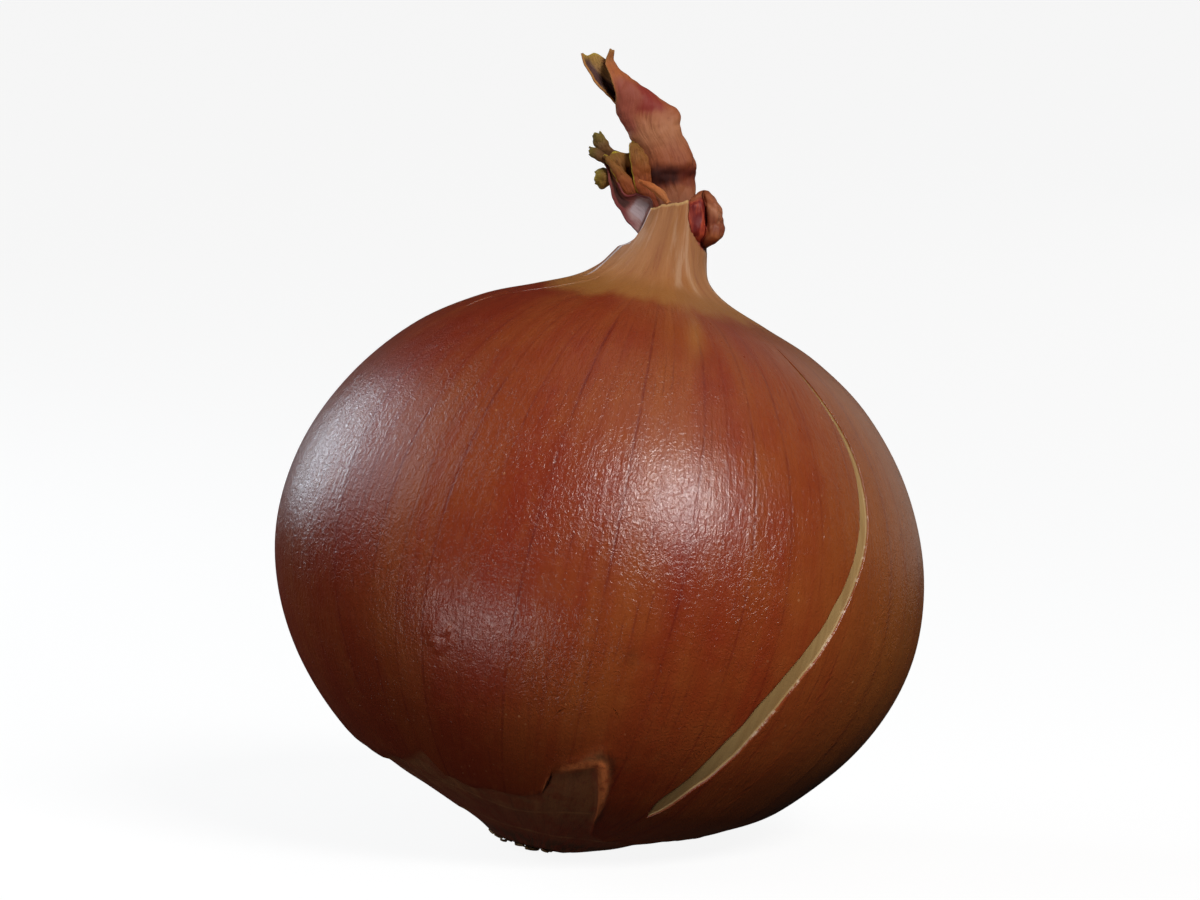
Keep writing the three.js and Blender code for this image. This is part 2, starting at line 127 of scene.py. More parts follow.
def ripple(points, seed, waves=22):
    """A smooth uneven surface, about -1 to 1, whose bumps are about one unit of the points across."""
    draw = np.random.default_rng(seed)
    total = np.zeros(points.shape[:-1])
    for _ in range(waves):
        way = draw.normal(size=3)
        total += np.sin(points @ (way / np.linalg.norm(way)) * draw.uniform(1.6, 4.2) + draw.uniform(0, 6.28))
    return total / math.sqrt(waves) * 0.8


def around(degrees, radius, height):
    swing = np.radians(degrees)
    return np.stack(np.broadcast_arrays(radius * np.sin(swing), -radius * np.cos(swing), height), -1)


def on_outline(t):
    """Radius and height at t, from 0 at the root to 1 at the rim, and the direction of the outline there."""
    last = len(OUTLINE) - 1
    place = np.clip(t, 0, 1) * last
    k = np.minimum(place.astype(int), last - 1)
    f = (place - k)[..., None]
    a, b = OUTLINE[np.maximum(k - 1, 0)], OUTLINE[k]
    c, d = OUTLINE[k + 1], OUTLINE[np.minimum(k + 2, last)]
    v, w = (c - a) / 2, (d - b) / 2
    spot = (2 * b - 2 * c + v + w) * f**3 + (-3 * b + 3 * c - 2 * v - w) * f**2 + v * f + b
    way = 3 * (2 * b - 2 * c + v + w) * f**2 + 2 * (-3 * b + 3 * c - 2 * v - w) * f + v
    return spot[..., 0], spot[..., 1], way / np.linalg.norm(way, axis=-1, keepdims=True)


FINE = np.linspace(0, 1, 4001)
FINE_RADIUS, FINE_HEIGHT, _ = on_outline(FINE)
FINE_RUN = np.concatenate([[0], np.cumsum(np.hypot(np.diff(FINE_RADIUS), np.diff(FINE_HEIGHT)))])


def part_way(height):
    """The outline's own measure, 0 to 1, at a height."""
    return np.interp(height, FINE_HEIGHT, FINE)


# The rows of the skin follow the torn edge at their foot, and are level from a height up
SKIN_FOOT = part_way(3.2)
LEVEL_FROM = part_way(27)


def torn_edge(degrees):
    frayed = 0.3 * ripple(around(degrees, 7.0, 0.0), 3) + 0.18 * ripple(around(degrees, 22.0, 0.0), 4)
    return np.interp(turn(degrees), *zip(*TORN_EDGE)) + frayed * smooth(0, 25, abs(turn(degrees - 5)))


def rim_at(degrees):
    dip = 3.1 * smooth(43, 34, abs(turn(degrees + 96)))
    tatters = 0.14 * ripple(around(degrees, 5.0, 0.0), 5) + 0.06 * ripple(around(degrees, 16.0, 0.0), 6)
    return 76.0 + 1.2 * np.sin(np.radians(degrees)) - dip + tatters


def lifted(degrees, height):
    """The neck above 70 mm is stretched to end at its uneven rim."""
    stretch = (rim_at(degrees) - 70) / (OUTLINE[-1, 1] - 70)
    return np.where(height > 70, 70 + (height - 70) * stretch, height)


def settled(points):
    """Presses what lies lower than the table up to it. Points are in the onion's own frame."""
    low = -(ROOT_Z - points[..., 0] * math.sin(LEAN) + points[..., 2] * math.cos(LEAN))
    up = np.array([-math.sin(LEAN), 0, math.cos(LEAN)])
    return points + np.maximum(low, 0)[..., None] * up


def standing(points):
    """From the onion's own frame in millimetres to the scene's in metres."""
    x, y, z = np.moveaxis(settled(points), -1, 0)
    across = ROOT_X + x * math.cos(LEAN) + z * math.sin(LEAN)
    up = ROOT_Z - x * math.sin(LEAN) + z * math.cos(LEAN)
    return np.stack([across, y, up], -1) / 1000


# Each vein: its angle at the bulb's widest place, how far it drifts from there to the neck, how dark it is,
# and how orange the skin is between it and the next
VEINS = [
    (-174, 1, 0.6, 0.5), (-163, -1, 0.8, 0.3), (-150, 2, 0.5, 0.6), (-139, 0, 0.9, 0.4), (-127, 1, 0.6, 0.7),
    (-114, -2, 0.8, 0.5), (-101, 0, 0.5, 0.3), (-89, 1, 0.8, 0.55), (-83, 0, 0.4, 0.45), (-77, -1, 0.5, 0.4),
    (-71, -2, 0.4, 0.4), (-65, -3, 0.7, 0.35), (-58, -4, 0.4, 0.35), (-50, -6, 0.8, 0.3), (-45, -3, 0.4, 0.5),
    (-40, 0, 0.7, 0.7), (-34.5, 1, 0.4, 0.55), (-29, 1, 0.9, 0.35), (-21.5, 2, 0.3, 0.25),
    (-13, 1.4, 1.0, 0.6), (-6.5, 0, 0.25, 0.55), (0.3, 0, 0.85, 0.65), (5.8, 0.5, 0.3, 0.55),
    (12, 2, 0.75, 0.5), (17.5, 1, 0.35, 0.5), (23, 1, 0.8, 0.6), (30.6, 0.6, 0.7, 0.45), (37, 2, 0.35, 0.35),
    (45, 5, 0.4, 0.65), (58, 1, 0.6, 0.8), (65, 0, 0.45, 0.7), (74, 1, 0.65, 0.9), (84, -1, 0.6, 0.7),
    (96, 1, 0.8, 0.5), (108, 0, 0.6, 0.65), (121, -2, 0.9, 0.4), (133, 1, 0.5, 0.6), (146, 0, 0.8, 0.35),
    (158, 2, 0.6, 0.7), (171, 0, 0.7, 0.45),
]


def vein_marks(degrees, height, radius):
    """Where each point lies between two veins, the gap between them, how dark the nearer is, how orange."""
    lift = np.clip((height - 32) / 30, -1, 1)
    angles = np.stack([vein[0] + vein[1] * lift for vein in VEINS])
    angles = np.concatenate([angles[-1:] - 360, angles, angles[:2] + 360])
    _, _, dark, warm = np.array([VEINS[-1]] + VEINS + VEINS[:2]).T
    inside = turn(degrees)
    k = np.clip((angles <= inside).sum(0) - 1, 0, len(angles) - 2)
    low = np.take_along_axis(angles, k[None], 0)[0]
    high = np.take_along_axis(angles, k[None] + 1, 0)[0]
    share = np.clip((inside - low) / (high - low), 0, 1)
    count = k + share + len(VEINS) * (degrees >= 180)
    before = np.clip(np.where(share < 0.5, k - 1, k), 0, len(warm) - 2)
    soft = (share + 0.5) % 1
    spread = warm[before] * (1 - soft) + warm[before + 1] * soft
    orange = 0.8 * spread + 0.2 * warm[k]
    return count, (high - low) * np.radians(1) * radius, np.where(share < 0.5, dark[k], dark[k + 1]), orange


def tear_distance(degrees, t):
    """How far each point is from the torn edge at the base, in millimetres along the skin."""
    radius = on_outline(t)[0]
    run = np.interp(t, FINE, FINE_RUN)
    last = 360 * EDGE_PLACES_A_DEGREE
    bend = np.linspace(-180, 180, last + 1)
    bend_run = np.interp(part_way(torn_edge(bend)), FINE, FINE_RUN)
    away = np.full(t.shape, FAR_OFF)
    near = run[:, 0] < 35
    for step in range(-60, 61):
        at = np.round((turn(degrees[near]) + 180) * EDGE_PLACES_A_DEGREE).astype(int) + step
        at = np.clip(at, 0, last)
        aside = np.radians(turn(degrees[near]) - bend[at]) * radius[near]
        away[near] = np.minimum(away[near], np.hypot(aside, run[near] - bend_run[at]))
    return away


def skin_columns(t):
    """For each column where the outline's measure is t: its angle, its place across a split, in half widths,
    and the half width there. The long split's places have IN_LONG_SPLIT added."""
    rows = len(t)
    radius, height, _ = on_outline(t[:, :1])
    radius = np.maximum(radius, 4)
    clusters = []
    for seed, split in enumerate((SHOULDER_SPLIT, LONG_SPLIT)):
        middle, half = through(split["course"], height), through(split["half"], height)
        down = np.concatenate([height / 1.6, height / 5, 0 * height], 1)
        left, right = (1 + 0.07 * ripple(down + aside, 70 + seed)[:, None] for aside in (0, 7))
        wide = np.where(SPLIT_COLUMNS[None] < 0, left, right) * half
        spots = middle + np.degrees(SPLIT_COLUMNS[None] * wide / radius)
        clusters.append([np.broadcast_to(part, spots.shape) for part in (spots, SPLIT_COLUMNS, half)])
    between = [FRONT_COLUMNS, COLUMNS - FRONT_COLUMNS]
    degrees, across, half = [], [], []
    for k in range(2):
        start = clusters[k][0][:, -1:]
        end = clusters[1 - k][0][:, :1] + (360 if k else 0)
        steps = (np.arange(between[k]) + 1) / (between[k] + 1)
        degrees += [clusters[k][0], start + (end - start) * steps]
        across += [clusters[k][1] + IN_LONG_SPLIT * k, np.full((rows, between[k]), NO_SPLIT)]
        half += [clusters[k][2], np.zeros((rows, between[k]))]
    return [np.concatenate(parts, 1) for parts in (degrees, across, half)]


def on_skin(degrees, t, sunk):
    """Points on the skin; sunk is how far under the outer skin they lie, square to the outline."""
    radius, height, way = on_outline(t)
    swing = np.radians(degrees)
    neck = smooth(62, 69, height)
    belly = smooth(2, 14, height) * (1 - neck)
    swell = SWELL * (np.cos(2 * swing + np.radians(110)) + np.cos(4 * swing - np.radians(70)))
    swell = swell - LOPSIDED * np.sin(swing) - UNDER_SIZE
    pleat = 0.05 * np.cos(11 * swing + np.radians(25) * np.sin(2 * swing))
    flare = -0.8 * np.sin(swing) * hump(height, 67.5, 3)
    run = np.interp(t, FINE, FINE_RUN)
    spots = np.stack([38 * np.cos(swing), 38 * np.sin(swing), run], -1)
    dents = 0.05 * ripple(spots / [12, 12, 16], 11) + 0.012 * ripple(spots / [3, 3, 7], 12)
    patch = hump(turn(degrees + 21), 0, 10) * hump(height, 25, 6)
    dents = dents + 0.04 * patch * ripple(spots / [1.6, 1.6, 3.2], 13)
    wrinkles = (0.05 * ripple(spots / [11, 11, 2.0], 14) + 0.02 * ripple(spots / [5, 5, 1.2], 15)) * neck
    r = radius + swell * belly + dents * smooth(3, 9, height) * belly + pleat * neck + wrinkles + flare
    return around(degrees, r - sunk * way[..., 1], lifted(degrees, height) + sunk * way[..., 0]), spots


def smooth_piece(name, points, faces):
    """An object in the scene, shaded smooth, from points in metres."""
    mesh = bpy.data.meshes.new(name)
    mesh.from_pydata(points, [], faces)
    mesh.polygons.foreach_set("use_smooth", np.ones(len(mesh.polygons), bool))
    piece = bpy.data.objects.new(name, mesh)
    bpy.context.scene.collection.objects.link(piece)
    return piece


def mesh_of(name, grid, marks=None, joined=True, low_end=None, high_end=None):
    """A piece from rows of points. joined closes each row on itself, and an end point closes the first or
    last row. Marks are kept on the corners of the faces, and may have one column more than the points."""
    rows, columns = grid.shape[:2]
    points = [grid.reshape(-1, 3)]
    i, j = np.meshgrid(np.arange(rows - 1), np.arange(columns - (0 if joined else 1)), indexing="ij")
    i, j = i.ravel(), j.ravel()
    corners = [(i, j), (i, j + 1), (i + 1, j + 1), (i + 1, j)]
    faces = np.stack([row * columns + column % columns for row, column in corners], 1).tolist()
    loop = [np.stack([row * (columns + 1) + column for row, column in corners], 1).ravel()]
    for end, row in ((low_end, 0), (high_end, rows - 1)):
        if end is None:
            continue
        tip = sum(len(p) for p in points)
        points.append(np.array([end], float))
        c = np.arange(columns)
        ring = [c, (c + 1) % columns] if row else [(c + 1) % columns, c]
        faces += np.stack([*(row * columns + side for side in ring), np.full(columns, tip)], 1).tolist()
        loop.append(np.repeat(row * (columns + 1) + c, 3))
    piece = smooth_piece(name, standing(np.concatenate(points)), faces)
    loop = np.concatenate(loop)
    for mark, values in (marks or {}).items():
        values = np.asarray(values, float)
        if values.shape[1] == columns:
            values = np.concatenate([values, values[:, :1] if joined else values[:, -1:]], 1)
        kind, field, width = ("FLOAT_VECTOR", "vector", 3) if values.ndim == 3 else ("FLOAT", "value", 1)
        layer = piece.data.attributes.new(mark, kind, "CORNER")
        layer.data.foreach_set(field, values.reshape(-1, width)[loop].ravel().astype(np.float32))
    piece.data.update()
    return piece


def inner_layers(degrees, height):
    """The layers round the root have torn away one short of the other. For each of their two edges, how far
    above it each point is."""
    for middle, sway, seed in ((2.6, 0.8, 17), (6.0, 1.4, 18)):
        yield height - middle - sway * ripple(around(degrees, 2.6, 3.0), seed)


def torn_window(degrees, radius, height):
    """Below the ear, at the neck's right front, the skin has torn out and shows the red layer under it."""
    across = radius * np.sin(np.radians(degrees))
    right_of = smooth(0, 0.15, across - 1.3 - 0.23 * (76.35 - height))
    above = smooth(0, 0.3, height - 73.44 + 1.03 * (across - 1.97)) * smooth(71.2, 71.6, height)
    return right_of * above * smooth(100, 85, abs(turn(degrees)))


def skin_rows():
    """The rows of the skin from the root to the rim, in two runs: under the torn edge and above it."""
    share = (np.arange(BASE_ROWS) / BASE_ROWS)[:, None]
    degrees = skin_columns(share * SKIN_FOOT)[0]
    t = part_way(torn_edge(degrees)) * share
    above = list(inner_layers(degrees, on_outline(t)[1]))
    worn = sum(0.14 * smooth(0.25, -0.25, edge) for edge in above)
    nearest = np.minimum(*(abs(edge) for edge in above))
    yield degrees, t, SKIN_STEP * smooth(0, 0.3, share) + worn, {"bare": 1.0, "layer": nearest}

    share = (np.arange(SKIN_ROWS) / (SKIN_ROWS - 1))[:, None]
    level = SKIN_FOOT + (1 - SKIN_FOOT) * share
    degrees, across, half = skin_columns(level)
    edge = part_way(torn_edge(degrees)) + 0.003
    t = level + (edge - SKIN_FOOT) * smooth(LEVEL_FROM, SKIN_FOOT, level)
    radius, height, _ = on_outline(t)
    window = torn_window(degrees, radius, lifted(degrees, height))
    in_split = across < NO_SPLIT
    long_one = in_split & (across > IN_LONG_SPLIT / 2)
    c = np.where(long_one, across - IN_LONG_SPLIT, across)
    open_here = in_split * smooth(0.05, 0.2, half)
    floor = smooth(1.03, 0.94, abs(c)) * open_here
    away = tear_distance(degrees, t)
    curled = smooth(-20, -12, turn(degrees)) * smooth(13, 9, turn(degrees))
    lip = 0.45 + 1.7 * hump(turn(degrees - 6), 0, 5) + 0.35 * ripple(around(degrees, 9.0, 2.0), 19)
    fold = hump(away, 0, np.maximum(lip, 0.25)) * (0.2 + 0.8 * curled)
    depth = np.where(long_one, LONG_SPLIT["depth"], SHOULDER_SPLIT["depth"])
    yield degrees, t, depth * floor - 0.45 * fold + 0.3 * window, {
        "layer": FAR_OFF,
        "window": window,
        "split": floor,
        "left_edge": hump(c, -0.96, 0.06) * open_here,
        "right_edge": hump(c, 1.0, 0.07) * open_here * long_one,
        "fold": fold,
        "curled": curled * smooth(2, 0, away),
        # painted shadow: a dark band beside the curled lip at the root, where the lip stands off the skin
        "crevice": hump(away, 1.7, 0.5) * hump(turn(degrees), 8, 2.2),
    }


def skin_spots(degrees, t):
    """Marks at chosen places: the tear up the neck, the peel beside it, a pale streak, a stain, a scar."""
    radius, height, _ = on_outline(t)
    to_side = radius * np.radians(1)
    tear = turn(degrees - through(NECK_TEAR, height)) * to_side
    streak = turn(degrees - 12.5) * to_side
    stain = turn(degrees - 6.6) * to_side
    return {
        "neck_tear": hump(tear, 0, 0.22 + 0.28 * hump(height, 71, 2)) * smooth(64.8, 66, height),
        "peeled": smooth(0.1, -0.1, tear) * smooth(-2.6, -1.6, tear) * smooth(66, 68, height),
        "pale": hump(streak - 0.25 * (height - 60), 0, 0.9) * hump(height, 61, 2.6),
        "stain": hump(np.hypot(stain, height - 26.3), 0, 1.5),
        "scar": hump(np.hypot(turn(degrees + 25.8) * to_side, height - 24.2), 1.2, 0.4),
    }


def bulb_skin():
    grids, marks = [], {}
    names = ["bare", "layer", "window", "split", "left_edge", "right_edge", "fold", "curled", "crevice"]
    for degrees, t, sunk, given in skin_rows():
        points, spots = on_skin(degrees, t, sunk)
        grids.append(points)
        radius, height, _ = on_outline(t)
        values = {name: np.broadcast_to(given.get(name, 0.0), degrees.shape) for name in names}
        values.update(skin_spots(degrees, t), height=height, grain=spots)
        wrapped = {name: np.concatenate([value, value[:, :1]], 1) for name, value in values.items()}
        wide = np.concatenate([degrees, degrees[:, :1] + 360], 1)
        round_it = [np.concatenate([value, value[:, :1]], 1) for value in (height, radius)]
        wrapped.update(zip(("vein", "vein_gap", "vein_dark", "warm"), vein_marks(wide, *round_it)))
        for name, value in wrapped.items():
            marks.setdefault(name, []).append(value)

    rim = grids[-1][-1]
    radius = np.hypot(rim[:, 0], rim[:, 1])[:, None]
    mouth = [rim * (1 - wall / radius * [1, 1, 0]) - [0, 0, drop] for wall, drop in RIM_ROLL]
    mouth += [around(degrees[-1], 2.6, CUP_FLOOR + 0.3), around(degrees[-1], 1.5, CUP_FLOOR)]
    first = skin_columns(np.zeros((1, 1)))[0][0]
    recess = [(3.4, RECESS_DEPTH), (RECESS_RADIUS, RECESS_DEPTH), (RECESS_RADIUS, 0.05)]
    root = [around(first, radius, height) for radius, height in recess]
    whole = np.concatenate([np.stack(root), *grids, np.stack(mouth)])
    for name, parts in marks.items():
        body = np.concatenate(parts)
        below, above = np.repeat(body[:1], len(root), 0), np.repeat(body[-1:], len(mouth), 0)
        marks[name] = np.concatenate([below, body, above])
    marks["inside"] = np.zeros(marks["height"].shape)
    marks["inside"][-len(mouth) + 1:] = 1
    return mesh_of("bulb_skin", whole, marks, low_end=(0, 0, RECESS_DEPTH), high_end=(0, 0, CUP_FLOOR))


class Thread:
    """A shader socket that can be used in sums."""

    def __init__(self, wiring, socket):
        self.wiring, self.socket = wiring, socket

    def sum(self, operation, *values):
        return self.wiring.node("ShaderNodeMath", {"operation": operation}, dict(enumerate(values)))

    def __add__(self, other):
        return self.sum("ADD", self, other)

    def __sub__(self, other):
        return self.sum("SUBTRACT", self, other)

    def __rsub__(self, other):
        return self.sum("SUBTRACT", other, self)

    def __mul__(self, other):
        return self.sum("MULTIPLY", self, other)

    def __truediv__(self, other):
        return self.sum("DIVIDE", self, other)

    __radd__ = __add__
    __rmul__ = __mul__

    def rise(self, low, high):
        """0 below low, 1 above high, smooth between. low may be the larger, which turns it round."""
        if low > high:
            return 1 - self.rise(high, low)
        values = {"Value": self, "From Min": low, "From Max": high}
        return self.wiring.node("ShaderNodeMapRange", {"interpolation_type": "SMOOTHSTEP"}, values)

    def to_nearest(self):
        """How far it is from the nearest whole number."""
        return self.sum("PINGPONG", self, 0.5)

    def past_whole(self):
        """How far it is past the last whole number."""
        return self.sum("FRACT", self)


class Wiring:
    """The nodes of a material or of the room. node() adds one and hands back one of its sockets."""

    def __init__(self, tree):
        self.tree = tree

    def node(self, kind, settings=None, sockets=None, out=0):
        made = self.tree.nodes.new(kind)
        for key, value in (settings or {}).items():
            if key == "stops":
                self.set_stops(made.color_ramp, value)
            else:
                setattr(made, key, value)
        for key, value in (sockets or {}).items():
            self.feed(made.inputs[key], value)
        return Thread(self, made.outputs[out])

    def set_stops(self, ramp, stops):
        ramp.interpolation = "EASE"
        while len(ramp.elements) < len(stops):
            ramp.elements.new(1.0)
        for element, (place, colour) in zip(ramp.elements, stops):
            element.position, element.color = place, paint(*colour)

    def feed(self, socket, value):
        if isinstance(value, Thread):
            self.tree.links.new(value.socket, socket)
        else:
            socket.default_value = value


class Finish(Wiring):
    """One material. constant holds what is the same all over it."""

    def __init__(self, name, constant):
        self.material = bpy.data.materials.new(name)
        self.material.use_nodes = True
        super().__init__(self.material.node_tree)
        self.shader = self.tree.nodes["Principled BSDF"]
        for socket, value in constant.items():
            self.shader.inputs[socket].default_value = value

    def mark(self, name, out="Fac"):
        return self.node("ShaderNodeAttribute", {"attribute_name": name}, out=out)

    def stretched(self, vector, x, y, z):
        return self.node("ShaderNodeVectorMath", {"operation": "MULTIPLY"}, {0: vector, 1: (x, y, z)})

    def noise(self, vector, scale, detail=3.0, roughness=0.55, **more):
        sockets = {"Vector": vector, "Scale": scale, "Detail": detail, "Roughness": roughness, **more}
        return self.node("ShaderNodeTexNoise", {}, sockets)

    def strands(self, vector, rise, scale, detail=3.0, roughness=0.6):
        """Noise drawn out upwards: the smaller rise is, the longer its strands."""
        return self.noise(self.stretched(vector, 1, 1, rise), scale, detail, roughness)

    def blend(self, factor, under, over):
        settings = {"data_type": "RGBA", "clamp_factor": True}
        return self.node("ShaderNodeMix", settings, {0: factor, 6: under, 7: over}, out=2)

    def relief(self, height):
        """A bump from a height in millimetres."""
        return self.node("ShaderNodeBump", {}, {"Strength": 1.0, "Distance": 0.001, "Height": height})

    def use(self, **sockets):
        for socket, value in sockets.items():
            self.feed(self.shader.inputs[socket.replace("_", " ").title()], value)
        return self.material


def paint(red, green, blue):
    """A colour as a painter's 0 to 255 values, made linear for the shader."""
    shades = [value / 255 for value in (red, green, blue)]
    return (*(((shade + 0.055) / 1.055) ** 2.4 if shade > 0.04 else shade / 12.92 for shade in shades), 1.0)


def dry_skin_ground(skin, grain, height):
    """The skin's own colour: orange to deep red in soft bands, browner at the right and towards the root."""
    side = skin.node("ShaderNodeSeparateXYZ", {}, {0: grain}, out=1) / 38
    streaks = skin.strands(grain, 0.05, 0.28, 4.0)
    threads = skin.strands(grain, 0.04, 1.3)
    clouds = skin.noise(grain, 0.045, 3.0, 0.55)
    mottle = skin.noise(grain, 0.5, 4.0, 0.6)
    redness = 0.95 - 0.55 * skin.mark("warm") + (streaks - 0.5) * 0.9 + (clouds - 0.5) * 1.6
    colour = skin.blend(redness.rise(0.1, 1.0), paint(162, 82, 34), paint(144, 48, 22))
    left = side.rise(-0.1, -0.9)
    colour = skin.blend(left * 0.5, colour, paint(124, 42, 20))
    golden = side.rise(0.45, 1.0) * (0.5 + 0.7 * streaks)
    colour = skin.blend(golden * 0.85, colour, paint(150, 90, 38))
    low = height.rise(24, 8)
    colour = skin.blend(low * 0.35, colour, paint(112, 50, 24))
    colour = skin.blend(mottle.rise(0.5, 0.8) * 0.2, colour, paint(180, 104, 54))
    colour = skin.blend(mottle.rise(0.5, 0.25) * 0.16, colour, paint(118, 40, 20))
    return skin.blend(threads.rise(0.52, 0.72) * 0.16, colour, paint(122, 38, 20))


def neck_colour(skin, grain, height, colour):
    """The skin of the neck: tan and ochre with soft upright streaks and dry whitish patches."""
    ring = skin.noise(grain, 0.12, 3.0, 0.6) * 3 - 1.5 + height
    streaks = skin.strands(grain, 0.14, 0.2, 3.0, 0.55)
    fine = skin.strands(grain, 0.2, 0.55, 4.0, 0.65)
    dry = skin.strands(grain, 0.8, 0.13, 4.0)
    neck = skin.blend(streaks.rise(0.25, 0.75) * 0.7, paint(176, 110, 54), paint(194, 134, 78))
    neck = skin.blend(fine.rise(0.5, 0.8) * 0.35, neck, paint(164, 88, 44))
    neck = skin.blend(dry.rise(0.5, 0.66) * 0.5, neck, paint(212, 170, 134))
    neck = skin.blend(dry.rise(0.45, 0.32) * 0.5, neck, paint(162, 84, 38))
    foot = skin.blend(fine, paint(164, 102, 46), paint(180, 124, 60))
    colour = skin.blend(ring.rise(63.0, 64.6) * 0.85, colour, foot)
    colour = skin.blend(ring.rise(65.0, 67.0), colour, neck)
    colour = skin.blend(skin.mark("pale") * 0.55, colour, paint(186, 124, 60))
    colour = skin.blend(skin.mark("peeled") * (0.3 + 0.4 * dry), colour, paint(150, 84, 66))
    torn = (skin.mark("neck_tear") + (fine - 0.5) * 0.6).rise(0.35, 0.75)
    colour = skin.blend(torn * height.rise(64.6, 67), colour, paint(214, 198, 196))
    # A pale line along the torn rim: partly the dry edge's own paler colour, partly painted highlight where
    # the edge catches the light
    colour = skin.blend(height.rise(75.1, 75.4) * 0.8, colour, paint(228, 184, 120))
    red = skin.blend(skin.strands(grain, 0.25, 0.22).rise(0.35, 0.65), paint(112, 22, 20), paint(184, 74, 46))
    return skin.blend(skin.mark("window"), colour, red)


def skin_veins(skin, grain, height, colour):
    """The veins run from root to neck as fine dark red lines, broken here and there, with hairs between them.
    The skin is a little flatter between two veins, and each vein is a shallow groove."""
    gap = skin.mark("vein_gap")
    waver = skin.strands(grain, 0.5, 0.3) - 0.5
    jitter = skin.strands(grain, 0.9, 1.1) - 0.5
    place = skin.mark("vein") + waver * 0.06 + jitter * 0.035
    near = place.to_nearest() * gap
    faint = skin.strands(grain, 0.5, 0.14).rise(0.3, 0.62)
    broken = skin.strands(grain, 0.6, 0.9).rise(0.3, 0.55)
    dark = skin.mark("vein_dark") * height.rise(66, 60) * (0.25 + 0.75 * faint)
    line = near.rise(0.24, 0.04) * dark * (0.4 + 0.6 * broken)
    halo = near.rise(1.3, 0.1) * dark
    colour = skin.blend(halo * 0.25, colour, paint(124, 36, 22))
    colour = skin.blend(line * 0.6, colour, paint(108, 22, 16))
    hairs = (place * 3 + waver * 0.3).to_nearest() * gap / 3
    hairs = hairs.rise(0.14, 0.02) * skin.noise(grain, 0.16, 2.0).rise(0.5, 0.7)
    colour = skin.blend(hairs * 0.35, colour, paint(104, 32, 22))
    from_middle = (place.past_whole() - 0.5) * gap
    return colour, from_middle * from_middle * 0.011 * dark - line * 0.028


def laid_bare(skin, grain, height, mottle, colour):
    """Where the skin is torn or split, the layer under it shows, and the torn edge has a paler lip."""
    ribs = skin.strands(grain, 0.15, 0.35, 4.0)
    under = skin.blend(ribs.rise(0.3, 0.7), paint(124, 72, 40), paint(156, 96, 56))
    under = skin.blend(height.rise(7.5, 3) * (0.35 + 0.6 * ribs), under, paint(132, 58, 36))
    under = skin.blend(mottle.rise(0.5, 0.7) * 0.5, under, paint(120, 54, 32))
    rims = skin.mark("layer").rise(0.3, 0.05) * (0.3 + ribs)
    under = skin.blend(rims * 0.6, under, paint(188, 128, 76))
    under = skin.blend(height.rise(1.7, 0.5) * 0.75, under, paint(62, 42, 24))
    clumps = skin.noise(grain, 0.28, 4.0, 0.65).rise(0.42, 0.6)
    colour = skin.blend(skin.mark("bare") * (1 - clumps * 0.65), colour, under)
    fresh = skin.strands(grain, 0.06, 0.9, 3.0, 0.55).rise(0.35, 0.65)
    fresh = skin.blend(fresh, paint(168, 132, 80), paint(182, 148, 94))
    colour = skin.blend(skin.mark("split").rise(0.4, 0.6), colour, fresh)
    colour = skin.blend(skin.mark("left_edge") * 0.5, colour, paint(96, 62, 34))
    # Painted highlight: near-white glints on the long split's right edge, where its torn lip catches the
    # light
    painted_glints = skin.noise(grain, 0.9, 4.0, 0.7).rise(0.5, 0.62) * height.rise(16, 22) * height.rise(52, 44)
    colour = skin.blend(skin.mark("right_edge") * painted_glints * 0.8, colour, paint(236, 214, 186))
    torn = (skin.mark("fold") + (mottle - 0.5) * 1.2 + (ribs - 0.5)).rise(0.15, 0.75)
    lip = skin.blend(skin.mark("curled").rise(0.2, 0.7), paint(140, 92, 56), paint(232, 134, 78))
    lip = skin.blend(mottle.rise(0.4, 0.7), lip, paint(170, 82, 44))
    colour = skin.blend(torn * 0.85, colour, lip)
    # Painted shadow: near black beside the curled lip at the root, where the lip stands off the skin
    colour = skin.blend(skin.mark("crevice") * 0.8, colour, paint(44, 16, 10))
    return skin.blend(skin.mark("inside"), colour, paint(128, 64, 50))


def skin_finish():
    skin = Finish("onion_skin", {"IOR": 1.5, "Specular IOR Level": 0.7})
    grain = skin.mark("grain", "Vector")
    height = skin.mark("height")
    mottle = skin.noise(grain, 0.9, 4.0, 0.6)
    colour = dry_skin_ground(skin, grain, height)
    colour, furrows = skin_veins(skin, grain, height, colour)
    specks = skin.node("ShaderNodeTexVoronoi", {}, {"Vector": grain, "Scale": 0.6}).rise(0.12, 0.05)
    specks = specks * skin.noise(grain, 0.2).rise(0.45, 0.65)
    colour = skin.blend(specks * 0.45, colour, paint(212, 150, 106))
    stain = skin.mark("stain") * (0.3 + mottle)
    colour = skin.blend(stain.rise(0.3, 1.1) * 0.5, colour, paint(76, 44, 28))
    colour = neck_colour(skin, grain, height, colour)
    colour = laid_bare(skin, grain, height, mottle, colour)

    # The relief: leathery grain, fine creases upwards and across, and the furrows of the veins
    bare, split = skin.mark("bare"), skin.mark("split")
    leather = skin.noise(grain, 1.7, 3.0, 0.55, Distortion=1.5)
    creases = skin.strands(grain, 0.25, 1.6)
    across = skin.noise(skin.stretched(grain, 0.25, 0.25, 1.0), 1.5, 3.0, 0.6)
    patchy = skin.noise(grain, 0.07, 2.0, 0.5).rise(0.35, 0.65)
    relief = leather * 0.09 * (0.6 + 0.7 * patchy) + creases * 0.08 + across * 0.03 * (1 - patchy)
    relief = relief + furrows + skin.mark("scar") * 0.1
    relief = relief * (1 - 0.7 * split) + skin.mark("neck_tear") * 0.12 + height.rise(64, 68) * (mottle * 0.1)
    dull = 0.24 + 0.12 * skin.noise(grain, 0.6, 3.0) + 0.3 * (bare + split + height.rise(63, 68))
    return skin.use(base_color=colour, roughness=dull, normal=skin.relief(relief))


bulb = bulb_skin()
bulb.data.materials.append(skin_finish())
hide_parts("bulb")
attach(bulb, "root")
